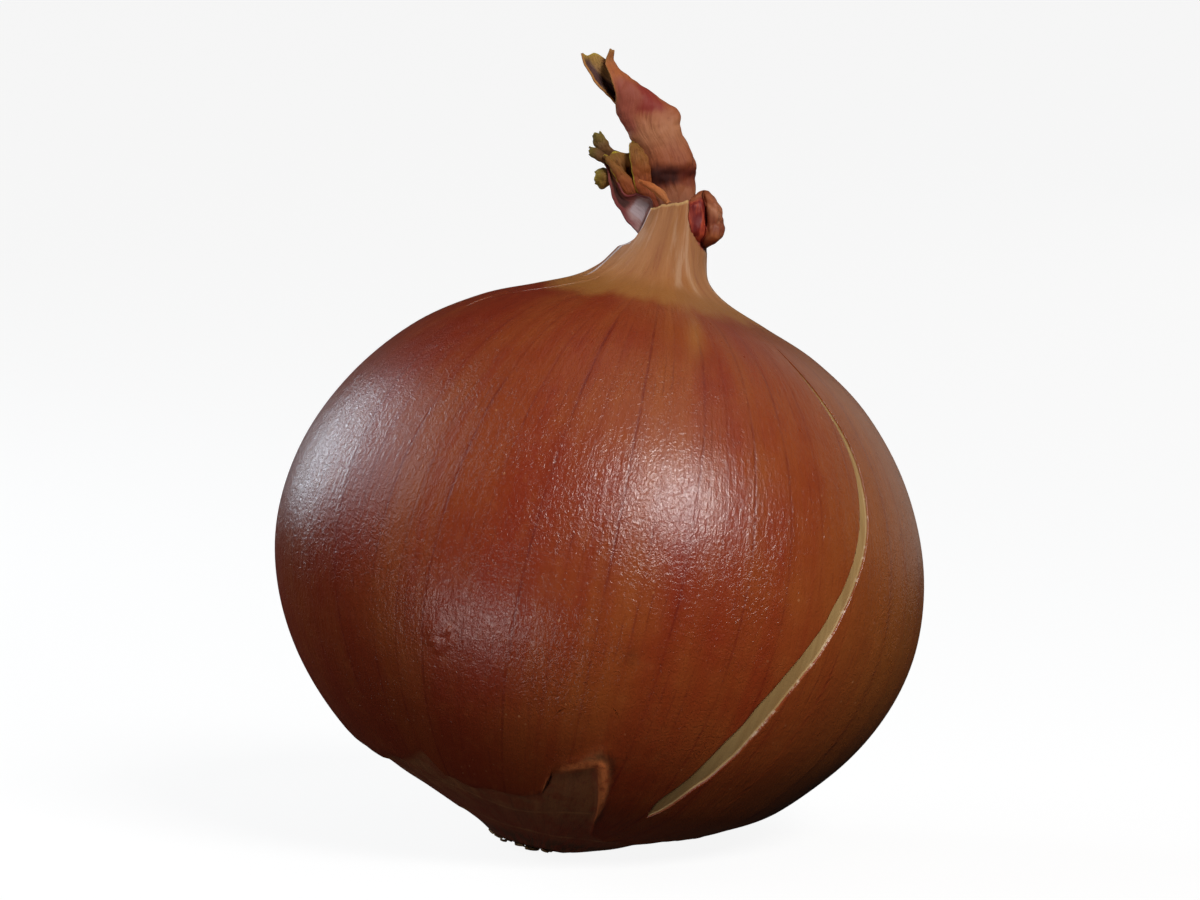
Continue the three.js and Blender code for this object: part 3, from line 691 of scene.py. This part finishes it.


# The folded ear: at the right of the neck's rim the torn skin has curled out and over, red on its inner face,
# with a deep crease where it doubles back on itself, painted dark as shade there. It grows out of the rim.
EAR_SECTION = np.array([
    [1.5, -3.5], [2.1, -3.9], [2.9, -3.8], [3.4, -3.3], [3.6, -2.4], [3.8, -3.1], [4.2, -3.5], [5.0, -3.5],
    [5.7, -2.6], [5.8, -0.9], [4.8, 0.5], [3.2, 1.2], [2.7, 0.2], [2.4, -1.6],
])
EAR_LEVELS = [
    (71.6, 0.24, 3.0), (72.3, 0.66, 1.4), (73.2, 0.94, 0.6), (75.2, 1.0, 0), (76.4, 0.96, -0.2),
    (77.6, 0.66, 0.4), (78.2, 0.28, 1.8),
]


def round_the_ring(points, count):
    """Evenly spaced points on a smooth closed curve through the given ones."""
    total = len(points)
    place = np.arange(count) / count * total
    k = place.astype(int)
    f = (place - k)[:, None]
    a, b, c, d = (points[(k + step) % total] for step in (-1, 0, 1, 2))
    return 0.5 * (2 * b + (c - a) * f + (2 * a - 5 * b + 4 * c - d) * f**2 + (3 * b - a - 3 * c + d) * f**3)


def run_through(rows, u):
    """The columns of evenly spaced rows of values, each followed smoothly at u, from 0 to 1."""
    keys = np.linspace(0, 1, len(rows))
    return [through(list(zip(keys, column)), u) for column in zip(*rows)]


def folded_ear():
    levels, count = 72, 200
    u = np.linspace(0, 1, levels)
    height, size, shift = run_through(EAR_LEVELS, u)
    section = round_the_ring(EAR_SECTION, count)
    grid = np.empty((levels, count, 3))
    grid[..., 0] = section[None, :, 0] * size[:, None] + shift[:, None]
    grid[..., 1] = section[None, :, 1] * size[:, None] - (1 - size[:, None])
    grid[..., 2] = height[:, None]
    grid[..., 2] -= 0.9 * smooth(75.5, 77.5, grid[..., 2]) * smooth(3.0, 1.2, grid[..., 0])
    place = np.arange(count) / count * len(EAR_SECTION)
    middle = smooth(73.7, 74.7, grid[..., 2]) * smooth(76.5, 75.7, grid[..., 2])
    doubled = hump(place, 4.0, 0.5)[None] * middle
    grid[..., 1] += 1.3 * doubled - 0.95 * hump(place, 4.0, 0.45)[None] * (1 - middle)
    outward = grid - grid.mean(1, keepdims=True)
    outward[..., 2] = 0
    outward /= np.linalg.norm(outward, axis=-1, keepdims=True) + 1e-6
    outer = smooth(4.4, 5.2, place)[None]
    pinches = 0.22 * hump(grid[..., 2], 74.3 + 0.4 * (grid[..., 0] - 4.6), 0.4)
    pinches += 0.2 * hump(grid[..., 2], 76.2 - 0.5 * (grid[..., 0] - 4.6), 0.35)
    crumple = 0.12 * ripple(grid / [0.9, 0.9, 1.5], 21) + 0.08 * ripple(grid / [0.35, 0.35, 0.9], 22) - 0.1
    ends = smooth(0, 0.1, u) * smooth(1, 0.9, u)
    grid += outward * ((crumple - outer * pinches) * ends[:, None])[..., None]
    marks = {
        "inner": np.broadcast_to(smooth(0, 0.5, place) * smooth(4.6, 4.2, place), (levels, count)),
        # painted shade: where the ear doubles back on itself and along its pinched folds
        "crease": doubled + 0.6 * outer * pinches,
        "level": np.broadcast_to(u[:, None], (levels, count)),
    }
    return mesh_of("rim_ear", grid, marks, low_end=grid[0].mean(0), high_end=grid[-1].mean(0))


def torn_skin_finish():
    skin = Finish("torn_skin", {"IOR": 1.45})
    place = skin.node("ShaderNodeTexCoord", out="Object")
    strands = skin.noise(skin.stretched(place, 1000, 1000, 260), 1.4, 4.0, 0.6)
    mottle = skin.noise(place, 700.0, 3.0, 0.6)
    level = skin.mark("level")
    # The outer face from foot to top: tan in bands, with painted shade darkest at its foot, where it tucks
    # against the neck, and at its lower pinched fold
    shades = [
        (0, (84, 34, 18)), (0.16, (130, 58, 32)), (0.3, (170, 98, 56)), (0.42, (138, 66, 38)),
        (0.6, (182, 116, 80)), (0.78, (160, 88, 52)), (1, (140, 72, 38)),
    ]
    outer = skin.node("ShaderNodeValToRGB", {"stops": shades}, {0: level + (mottle - 0.5) * 0.2})
    outer = skin.blend(strands.rise(0.5, 0.7) * 0.4, outer, paint(130, 58, 34))
    inner = skin.blend(strands.rise(0.42, 0.68), paint(116, 22, 20), paint(186, 76, 48))
    colour = skin.blend(skin.mark("inner") * level.rise(0.05, 0.2), outer, inner)
    colour = skin.blend(mottle.rise(0.6, 0.75) * 0.3, colour, paint(200, 150, 118))
    colour = skin.blend((level + (strands - 0.5) * 0.15).rise(0.74, 0.82) * skin.mark("inner"), colour, outer)
    # Painted shade: near black in the ear's doubled-back crease and along its pinched folds
    colour = skin.blend(skin.mark("crease").rise(0.2, 0.9) * 0.85, colour, paint(60, 16, 12))
    relief = strands * 0.2 + mottle * 0.1
    return skin.use(base_color=colour, roughness=0.5 + 0.15 * mottle, normal=skin.relief(relief))


torn_skin = torn_skin_finish()
ear = folded_ear()
ear.data.materials.append(torn_skin)
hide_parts("bulb")
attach(ear, "root")


# The peeled strip: at the left the neck's skin has come away, hollow towards the front, purple-red at its
# lower edge and dry and whitish on its inner face. A shrivelled scrap hangs off it, and a sliver of the rim
# points over it. All three are thin dry skin.
BLADE_THICKNESS = 0.25
# Each dry blade is a thin sheet between two edges, from its root to its tip. A row gives the edges as
# (across, height), the arch between them, how far the sheet lies behind the axis, and, where the arch isn't a
# plain one, the angles that it runs between.
PEEL = [
    ((-3.3, 71.6), (-2.7, 75.0), -0.5, -1.6),
    ((-4.1, 72.3), (-3.2, 76.1), -0.7, -1.6),
    ((-5.6, 73.4), (-4.4, 76.2), -0.8, -1.4),
    ((-7.2, 75.1), (-6.0, 75.9), -0.7, -1.1),
    ((-8.1, 77.0), (-7.3, 77.3), -0.5, -0.7),
    ((-9.1, 79.0), (-8.5, 78.9), -0.3, -0.2),
]
SCRAP = [
    ((-6.4, 75.6), (-6.4, 76.5), 0.3, 0.3),
    ((-8.1, 76.9), (-8.3, 78.3), 0.5, 0.6),
    ((-9.0, 76.2), (-9.2, 78.7), 0.6, 0.8),
    ((-9.9, 76.7), (-10.1, 77.9), 0.4, 0.8),
]
SLIVER = [
    ((-1.1, 75.6), (-0.8, 75.9), 0.3, -3.2),
    ((-2.0, 76.2), (-1.8, 76.95), 0.35, -3.1),
    ((-3.1, 76.85), (-3.2, 77.6), 0.35, -2.8),
    ((-4.85, 77.6), (-4.8, 77.75), 0.1, -2.5),
]


def whole_end(v):
    return 0 * v


def frayed_end(v):
    return 0.03 * (1 + np.sin(11 * v))


def notched_end(v):
    return 0.05 * hump(v, 0.42, 0.12) + 0.01 * (1 + np.sin(19 * v)) * smooth(0, 0.12, v)


def blade_grid(stations, rows, columns, end_shape):
    full = [row if len(row) == 6 else (*row, 175, 5) for row in stations]
    flat = [(*left, *right, *rest) for left, right, *rest in full]
    v = np.linspace(0, 1, columns)[None] * np.ones((rows, 1))
    u = np.linspace(0, 1, rows)[:, None] * (1 - end_shape(v))
    left_x, left_h, right_x, right_h, arch, behind, start, end = run_through(flat, u)
    angle = np.radians(start + (end - start) * v)
    wide = (1 + np.cos(angle)) / 2
    across = left_x + (right_x - left_x) * wide
    height = left_h + (right_h - left_h) * wide
    return np.stack([across, behind - arch * np.sin(angle), height], -1), u, v


def crumpled(grid, depth, size, seed, hold):
    """Pushes a sheet in and out unevenly, square to itself, with sharp folds along it."""
    face = np.cross(np.gradient(grid, axis=0), np.gradient(grid, axis=1))
    face /= np.linalg.norm(face, axis=-1, keepdims=True) + 1e-9
    creased = 1 - 2 * abs(ripple(grid / (size * 1.3), seed + 2))
    fine = ripple(grid / (size * 0.38), seed + 1)
    push = depth * (0.7 * ripple(grid / size, seed) + 0.35 * fine + 0.5 * creased)
    return grid + face * (push * hold)[..., None]


def dry_blade(name, stations, size, crumple, seed, end_shape, materials):
    """size is rows and columns; crumple is how deep the crumples are and how far apart."""
    grid, u, v = blade_grid(stations, *size, end_shape)
    grid = crumpled(grid, *crumple, seed, smooth(0, 0.08, u))
    piece = mesh_of(name, grid, {"along": u, "across": v}, joined=False)
    for material in materials:
        piece.data.materials.append(material)
    shell = piece.modifiers.new("thickness", "SOLIDIFY")
    shell.thickness = BLADE_THICKNESS / 1000
    shell.offset = 0
    shell.material_offset = 1 if len(materials) > 1 else 0
    return piece


def leaf_finish(name, stops, dark, edge, rims=(0.04, 0.04), patches=()):
    """Withered leaf: its colours from root to tip, darker fibres and blots, and its dry bright edges. rims
    tells how wide these are, left and right. Each patch, a stain or a band of painted shade, is given
    as: from and to across, from and to along, and its colour."""
    leaf = Finish(name, {"IOR": 1.42})
    along, across = leaf.mark("along"), leaf.mark("across")
    place = leaf.node("ShaderNodeTexCoord", out="Object")
    spot = leaf.node("ShaderNodeCombineXYZ", {}, {0: across * 9, 1: along * 1.6, 2: 0.0})
    fibres = leaf.noise(spot, 2.6, 4.0, 0.65)
    blots = leaf.noise(place, 300.0, 3.0, 0.55)
    grime = leaf.noise(place, 1000.0, 3.0, 0.6)
    colour = leaf.node("ShaderNodeValToRGB", {"stops": stops}, {0: along + (blots - 0.5) * 0.12})
    colour = leaf.blend(blots.rise(0.5, 0.3) * 0.3, colour, paint(*dark))
    colour = leaf.blend(fibres.rise(0.5, 0.7) * 0.45, colour, paint(*dark))
    colour = leaf.blend(grime.rise(0.58, 0.75) * 0.3, colour, paint(*dark))
    for left, right, low, high, shade in patches:
        uneven = across + (blots - 0.5) * 0.1
        across_it = uneven.rise(left - 0.04, left + 0.04) * uneven.rise(right + 0.05, right - 0.05)
        uneven = along + (fibres - 0.5) * 0.06
        along_it = uneven.rise(low - 0.03, low + 0.03) * uneven.rise(high + 0.03, high - 0.03)
        colour = leaf.blend(across_it * along_it * (0.6 + fibres * 0.6), colour, paint(*shade))
    rim = across.rise(rims[0], rims[0] / 4) + across.rise(1 - rims[1], 1 - rims[1] / 4)
    rim = rim + along.rise(0.965, 0.99)
    colour = leaf.blend(rim * along.rise(0.1, 0.3) * 0.8, colour, paint(*edge))
    relief = fibres * 0.16 + grime * 0.06
    return leaf.use(base_color=colour, roughness=0.55 + 0.2 * fibres, normal=leaf.relief(relief))


peel_outside = leaf_finish(
    "peel_outside", [(0, (122, 44, 30)), (1, (96, 30, 34))], (60, 16, 18), (140, 70, 60),
)
peel_inside = leaf_finish(
    "peel_inside", [(0, (150, 104, 98)), (0.3, (172, 142, 140)), (0.5, (128, 66, 58)), (1, (134, 92, 40))],
    (92, 38, 38), (118, 40, 42), (0.34, 0.04),
    [(0.35, 0.75, 0.12, 0.4, (178, 160, 164)), (0.25, 0.6, 0.45, 0.9, (58, 24, 18))],
)
shrivelled = leaf_finish(
    "shrivelled_scrap", [(0, (100, 40, 22)), (0.5, (132, 96, 36)), (1, (150, 130, 46))],
    (72, 36, 16), (164, 150, 54),
)
sliver_skin = leaf_finish(
    "rim_sliver", [(0, (206, 132, 76)), (1, (204, 112, 54))], (150, 62, 30), (222, 148, 84), (0.3, 0.1),
)
torn_strips = [
    dry_blade("neck_peel", PEEL, (60, 36), (0.12, 1.1), 31, whole_end, (peel_inside, peel_outside)),
    dry_blade("peel_scrap", SCRAP, (40, 30), (0.14, 0.8), 34, frayed_end, (shrivelled,)),
    dry_blade("rim_sliver", SLIVER, (40, 14), (0.05, 0.8), 37, whole_end, (sliver_skin,)),
]
for piece in torn_strips:
    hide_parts("bulb")
    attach(piece, "root")


# The withered leaf tops: a tall dry leaf rolled on itself and open towards the left near its end, and at its
# foot the shrivelled ends of lower leaves: a strip, a shallow cup, a blade by the tall leaf and two fingers.
# They all come up out of the neck's mouth on one short foot.
TALL_LEAF = [
    ((-1.6, 73.7), (1.4, 73.9), 1.2, 0, 190, -150),
    ((-2.3, 75.9), (1.9, 77.1), 1.4, -0.1, 188, -120),
    ((-3.5, 77.6), (1.3, 79.2), 1.5, -0.2, 186, -105),
    ((-4.2, 79.6), (1.3, 81.0), 1.9, -0.6, 184, -100),
    ((-5.2, 81.4), (-0.1, 83.0), 1.7, -0.5, 182, -100),
    ((-6.9, 82.9), (-1.6, 84.9), 1.6, -0.4, 180, -105),
    ((-8.7, 84.9), (-1.9, 86.6), 1.6, -0.3, 174, -120),
    ((-10.0, 86.6), (-4.9, 87.9), 1.4, -0.2, 136, -160),
    ((-11.8, 88.1), (-8.0, 89.4), 1.1, -0.1, 100, -188),
    ((-13.6, 89.8), (-10.3, 90.7), 0.8, 0, 66, -190),
    ((-14.3, 91.15), (-10.9, 92.33), 0.7, 0, 34, -190),
]
CURLS = {
    "strip": [
        ((-3.0, 73.4), (-1.2, 73.6), 0.2, 0.2), ((-5.5, 75.2), (-3.4, 75.9), 0.3, -0.1),
        ((-7.0, 77.0), (-4.8, 77.3), 0.3, -0.5), ((-8.0, 78.3), (-6.2, 78.2), 0.3, -0.7),
        ((-8.9, 79.3), (-7.8, 79.0), 0.25, -0.7), ((-9.5, 80.1), (-9.1, 80.0), 0.2, -0.6),
    ],
    "cup": [
        ((-3.0, 73.8), (-0.8, 74.2), -0.3, -0.2), ((-4.9, 75.8), (-2.6, 76.3), -0.3, -0.2),
        ((-6.5, 77.3), (-3.8, 78.2), -0.35, -0.3), ((-8.1, 78.7), (-5.0, 79.7), -0.35, -0.4),
        ((-9.4, 80.2), (-6.5, 81.4), -0.25, -0.4),
    ],
    "side": [
        ((-2.2, 73.8), (-0.2, 74.2), 0.3, -0.2), ((-4.4, 76.2), (-2.2, 76.6), 0.25, -0.6),
        ((-5.5, 78.1), (-3.4, 78.7), 0.2, -1.1), ((-6.2, 79.8), (-3.9, 80.1), 0.2, -1.4),
        ((-6.5, 81.1), (-4.8, 81.3), 0.2, -1.2), ((-6.7, 82.1), (-6.2, 82.3), 0.1, -0.8),
    ],
    "upper_finger": [
        ((-6.6, 78.4), (-5.6, 79.2), 0.4, 1.3), ((-8.3, 79.5), (-7.3, 80.5), 0.4, 1.1),
        ((-9.5, 80.1), (-8.7, 81.0), 0.4, 0.6), ((-10.7, 81.0), (-9.3, 81.7), 0.4, 0.3),
        ((-11.2, 82.2), (-10.5, 82.6), 0.2, 0.3),
    ],
    "lower_finger": [
        ((-7.0, 78.0), (-6.8, 79.0), 0.4, 1.0), ((-8.9, 79.1), (-9.0, 80.0), 0.4, 0.5),
        ((-10.1, 79.4), (-10.2, 80.6), 0.4, 0), ((-11.2, 79.9), (-11.3, 80.6), 0.3, 0),
    ],
}
leaf_outside = leaf_finish(
    "leaf_outside",
    # colours from foot to tip; the darker stops at 0.2 and 0.27 are painted shadow in the fold at the leaf's
    # foot
    [
        (0, (140, 70, 46)), (0.08, (168, 106, 76)), (0.15, (160, 94, 60)), (0.2, (132, 62, 36)),
        (0.27, (128, 58, 34)), (0.34, (160, 88, 52)), (0.5, (182, 118, 80)), (0.64, (168, 92, 56)),
        (0.84, (178, 98, 50)), (1, (166, 110, 50)),
    ],
    (120, 48, 26), (176, 122, 60), (0.015, 0.02),
    [
        # the first two patches are painted shadow in the fold at the leaf's foot; the rest are its own stains
        # and the yellow-green of its left edge
        (0.1, 0.42, 0.19, 0.285, (52, 12, 8)), (0.42, 0.7, 0.215, 0.27, (92, 30, 18)),
        (0.2, 0.4, 0.6, 0.76, (142, 42, 34)), (0.02, 0.2, 0.5, 0.8, (158, 78, 60)),
        (-0.1, 0.05, 0.26, 0.44, (168, 150, 52)),
    ],
)
leaf_inside = leaf_finish(
    "leaf_inside",
    [(0, (110, 62, 44)), (0.7, (140, 104, 92)), (0.85, (158, 116, 66)), (1, (172, 134, 60))],
    (92, 40, 34), (186, 160, 62), (0.03, 0.02),
    [
        (0.72, 0.93, 0.7, 0.95, (74, 42, 46)), (0.42, 0.54, 0.74, 0.94, (120, 56, 22)),
        (0.3, 0.42, 0.76, 0.9, (200, 180, 178)),
    ],
)
curl_outside = leaf_finish(
    "curl_outside", [(0, (130, 48, 26)), (0.35, (160, 80, 34)), (0.8, (150, 96, 38)), (1, (146, 104, 40))],
    (88, 34, 14), (196, 176, 44), (0.12, 0.04),
)
# The curls' inner faces: dark red at the foot, partly their own colour and partly painted shade inside the
# curl, olive-yellow towards the tips
curl_inside = leaf_finish(
    "curl_inside", [(0, (92, 30, 20)), (0.4, (120, 62, 30)), (0.8, (156, 112, 42)), (1, (166, 146, 46))],
    (62, 24, 14), (196, 182, 50),
)
finger_skin = leaf_finish(
    "finger_skin", [(0, (104, 48, 28)), (0.6, (120, 82, 42)), (1, (126, 108, 40))],
    (56, 28, 16), (154, 142, 52),
)
leaf_pieces = [
    dry_blade("tall_leaf", TALL_LEAF, (150, 90), (0.14, 1.5), 41, notched_end, (leaf_outside, leaf_inside)),
]
for number, (curl, stations) in enumerate(CURLS.items()):
    skins = (finger_skin,) if "finger" in curl else (curl_outside, curl_inside)
    seed = 53 + 3 * number
    piece = dry_blade("leaf_end_" + curl, stations, (60, 36), (0.1, 0.8), seed, frayed_end, skins)
    leaf_pieces.append(piece)


def leaf_foot():
    levels = [(1.7, CUP_FLOOR + 0.4), (2.2, 72.5), (2.2, 74.8), (1.2, 76)]
    rows, count = 18, 60
    u = np.linspace(0, 1, rows)
    radius, height = run_through(levels, u)
    degrees = np.arange(count) * 360 / count
    pleated = radius[:, None] * (1 + 0.05 * np.cos(np.radians(degrees * 7))[None])
    grid = around(degrees[None], pleated, height[:, None])
    marks = {"along": np.broadcast_to(u[:, None] * 0.3, (rows, count)), "across": np.full((rows, count), 0.5)}
    return mesh_of("leaf_foot", grid, marks, low_end=(0, 0, levels[0][1]), high_end=(0, 0, 76.2))


foot = leaf_foot()
foot.data.materials.append(curl_outside)
for piece in leaf_pieces + [foot]:
    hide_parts("dry_leaf_tops")
    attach(piece, "root")


# The root plate: a corky disc in the bulb's recess, with the stubs of the dried roots splayed out from it,
# most of them to the left, and pressed flat where the onion rests on them.
PLATE_RADIUS = 6.5
PLATE_TOP = 2.2
PLATE_SECTION = [
    (0.6, -0.15), (2.4, -0.25), (4.6, -0.1), (6.1, 0.15), (PLATE_RADIUS, 0.7), (PLATE_RADIUS, PLATE_TOP),
    (3, PLATE_TOP),
]
ROOTS = 110
ROOT_REACH = 7.2
chance = np.random.default_rng(7)


def root_plate():
    rows, count = 36, 150
    u = np.linspace(0, 1, rows)
    keys = np.linspace(0, 1, len(PLATE_SECTION))
    radius, height = (np.interp(u, keys, column) for column in zip(*PLATE_SECTION))
    degrees = np.arange(count) * 360 / count
    grid = around(degrees[None], radius[:, None], height[:, None])
    crumb = 0.12 * ripple(grid / 0.9, 61) + 0.07 * ripple(grid / 0.4, 62)
    grid[..., 2] += crumb * smooth(0.75, 0.55, u)[:, None]
    return mesh_of("root_cork", grid, {}, low_end=(0, 0, -0.1), high_end=(0, 0, PLATE_TOP))


def root_stub(index):
    """One dried root: a thin tapering stub that leaves the disc, and curls along the bulb's base."""
    heading = chance.uniform(-172, -8) if index % 5 else chance.uniform(-8, 188)
    start = chance.uniform(2.5, 6.2)
    reach = min(start + chance.uniform(1.0, 2.6), ROOT_REACH)
    rows, count = 12, 6
    u = np.linspace(0, 1, rows)
    radius = start + (reach - start) * u
    lift = 0.5 - 0.95 * np.sin(np.minimum(u * 1.9, 1.57)) * chance.uniform(0.6, 1.05) + 0.35 * u**2
    swing = heading + chance.uniform(-12, 12) * u + 4 * np.sin(u * 7 + index)
    spine = settled(around(swing, radius, lift))
    thick = chance.uniform(0.16, 0.34) * (1 - 0.55 * u)
    side = around(np.full(rows, heading + 90), 1.0, 0.0)
    angles = np.arange(count) * 2 * np.pi / count
    sideways = np.cos(angles)[None, :, None] * side[:, None]
    upward = np.sin(angles)[None, :, None] * np.array([0, 0, 1.0])
    return settled(spine[:, None] + thick[:, None, None] * (sideways + upward))


def tube_faces(rows, count, first=0):
    """The faces between rows of points round a tube, whose first point has the number first."""
    row = [(j, (j + 1) % count) for j in range(count)]
    starts = range(first, first + (rows - 1) * count, count)
    return [(at + a, at + b, at + b + count, at + a + count) for at in starts for a, b in row]


def root_beard():
    """All the stubs as one piece, each closed at both ends."""
    points, faces, total = [], [], 0
    for index in range(ROOTS):
        grid = root_stub(index)
        rows, count = grid.shape[:2]
        points.append(grid.reshape(-1, 3))
        faces += tube_faces(rows, count, total)
        faces.append([total + j for j in range(count)][::-1])
        faces.append([total + (rows - 1) * count + j for j in range(count)])
        total += rows * count
    return smooth_piece("root_beard", standing(np.concatenate(points)), faces)


def cork_finish(name, light, dark):
    cork = Finish(name, {"IOR": 1.4})
    place = cork.node("ShaderNodeTexCoord", out="Object")
    crumbs = cork.noise(place, 900.0, 4.0, 0.65)
    stains = cork.noise(place, 220.0, 3.0, 0.6)
    colour = cork.blend((crumbs * 0.6 + stains * 0.4).rise(0.4, 0.62), dark, light)
    return cork.use(base_color=colour, roughness=0.8 + 0.1 * crumbs, normal=cork.relief(crumbs * 0.4))


for piece, finish in (
    (root_plate(), cork_finish("root_cork", paint(118, 92, 60), paint(54, 38, 22))),
    (root_beard(), cork_finish("dried_root", paint(156, 120, 74), paint(62, 42, 24))),
):
    piece.data.materials.append(finish)
    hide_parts("root_plate")
    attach(piece, "root")


# The table: a pale floor that sweeps up all round. It throws no light of its own back on the onion, and lets
# the light from below through, so the underside is lit as it is in the photograph.
def pale_floor():
    rings = [(0.001, 0)] + [(0.12 + 0.1 * k, 0.00012 * k**3) for k in range(28)]
    count = 96
    degrees = np.arange(count) * 360 / count
    grid = np.stack([around(degrees, radius, height) for radius, height in rings])
    faces = [list(range(count))] + tube_faces(len(rings), count)
    floor = smooth_piece("floor", grid.reshape(-1, 3), faces)
    paper = Finish("pale_paper", {
        "Base Color": (0.16, 0.16, 0.16, 1),
        "Roughness": 0.9,
        "Specular IOR Level": 0.0,
        "Emission Color": (1, 1, 1, 1),
        "Emission Strength": 0.9,
    })
    floor.data.materials.append(paper.material)
    floor.visible_diffuse = False
    floor.visible_glossy = False
    floor.visible_shadow = False
    return floor


pale_floor()


# The light: a soft box high at the right front, a tall one behind at the left, broad ones at the left, behind
# at the right and overhead, a low one at the left front, and a dim room, a little darker below than above.
MIDDLE = Vector((0, 0, 0.045))


def soft_box(name, way, distance, width, height, watts, colour):
    lamp = bpy.data.lights.new(name, "AREA")
    lamp.shape = "RECTANGLE"
    lamp.size, lamp.size_y = width, height
    lamp.energy = watts
    lamp.color = colour
    holder = bpy.data.objects.new(name, lamp)
    holder.location = MIDDLE + Vector(way).normalized() * distance
    holder.rotation_euler = (-Vector(way)).to_track_quat("-Z", "Y").to_euler()
    holder.visible_camera = False
    bpy.context.scene.collection.objects.link(holder)


soft_box("key", (0.425, -0.75, 0.56), 0.9, 0.3, 0.28, 6.1, (1.0, 0.97, 0.95))
soft_box("window", (-0.73, 0.59, 0.34), 0.9, 0.22, 0.36, 2.4, (0.76, 0.9, 1.0))
soft_box("side", (-0.85, 0.08, 0.54), 1.0, 0.8, 0.6, 2.3, (0.82, 0.92, 1.0))
soft_box("back", (0.6, 0.74, 0.3), 1.1, 0.9, 0.8, 0.8, (1.0, 0.95, 0.88))
soft_box("low", (-0.625, -0.7, -0.33), 0.9, 0.2, 0.2, 1.2, (1.0, 0.95, 0.93))
soft_box("top", (0.25, -0.1, 1.0), 1.0, 0.8, 0.8, 0.7, (1.0, 0.98, 0.96))

world = bpy.data.worlds.new("room")
world.use_nodes = True
bpy.context.scene.world = world
room = Wiring(world.node_tree)
way = room.node("ShaderNodeTexCoord", out="Generated")
up = room.node("ShaderNodeSeparateXYZ", {}, {0: way}, out="Z")
fade = {"Value": up, "From Min": -0.5, "From Max": 0.6, "To Min": 0.15, "To Max": 0.17}
room.feed(world.node_tree.nodes["Background"].inputs["Strength"], room.node("ShaderNodeMapRange", {}, fade))


# The camera: it looks at the onion's middle from one degree above, through a long lens, and frames it as the
# photograph does.
PHOTO_WIDE = 1200
PHOTO_HIGH = 900
GROUND_ROW = 845
MM_PER_PIXEL = 0.11692
CAMERA_RISE = math.radians(1)
lens = bpy.data.cameras.new("camera")
lens.lens = 85
lens.sensor_width = 36
lens.clip_start = 0.01
camera = bpy.data.objects.new("camera", lens)
bpy.context.scene.collection.objects.link(camera)
stand_off = MM_PER_PIXEL / 1000 * PHOTO_WIDE * lens.lens / lens.sensor_width
aim_height = (GROUND_ROW - PHOTO_HIGH / 2) * MM_PER_PIXEL / 1000
camera.location = (0, -stand_off * math.cos(CAMERA_RISE), aim_height + stand_off * math.sin(CAMERA_RISE))
camera.rotation_euler = (math.pi / 2 - CAMERA_RISE, 0, 0)
bpy.context.scene.camera = camera
bpy.context.scene.view_settings.view_transform = "Standard"
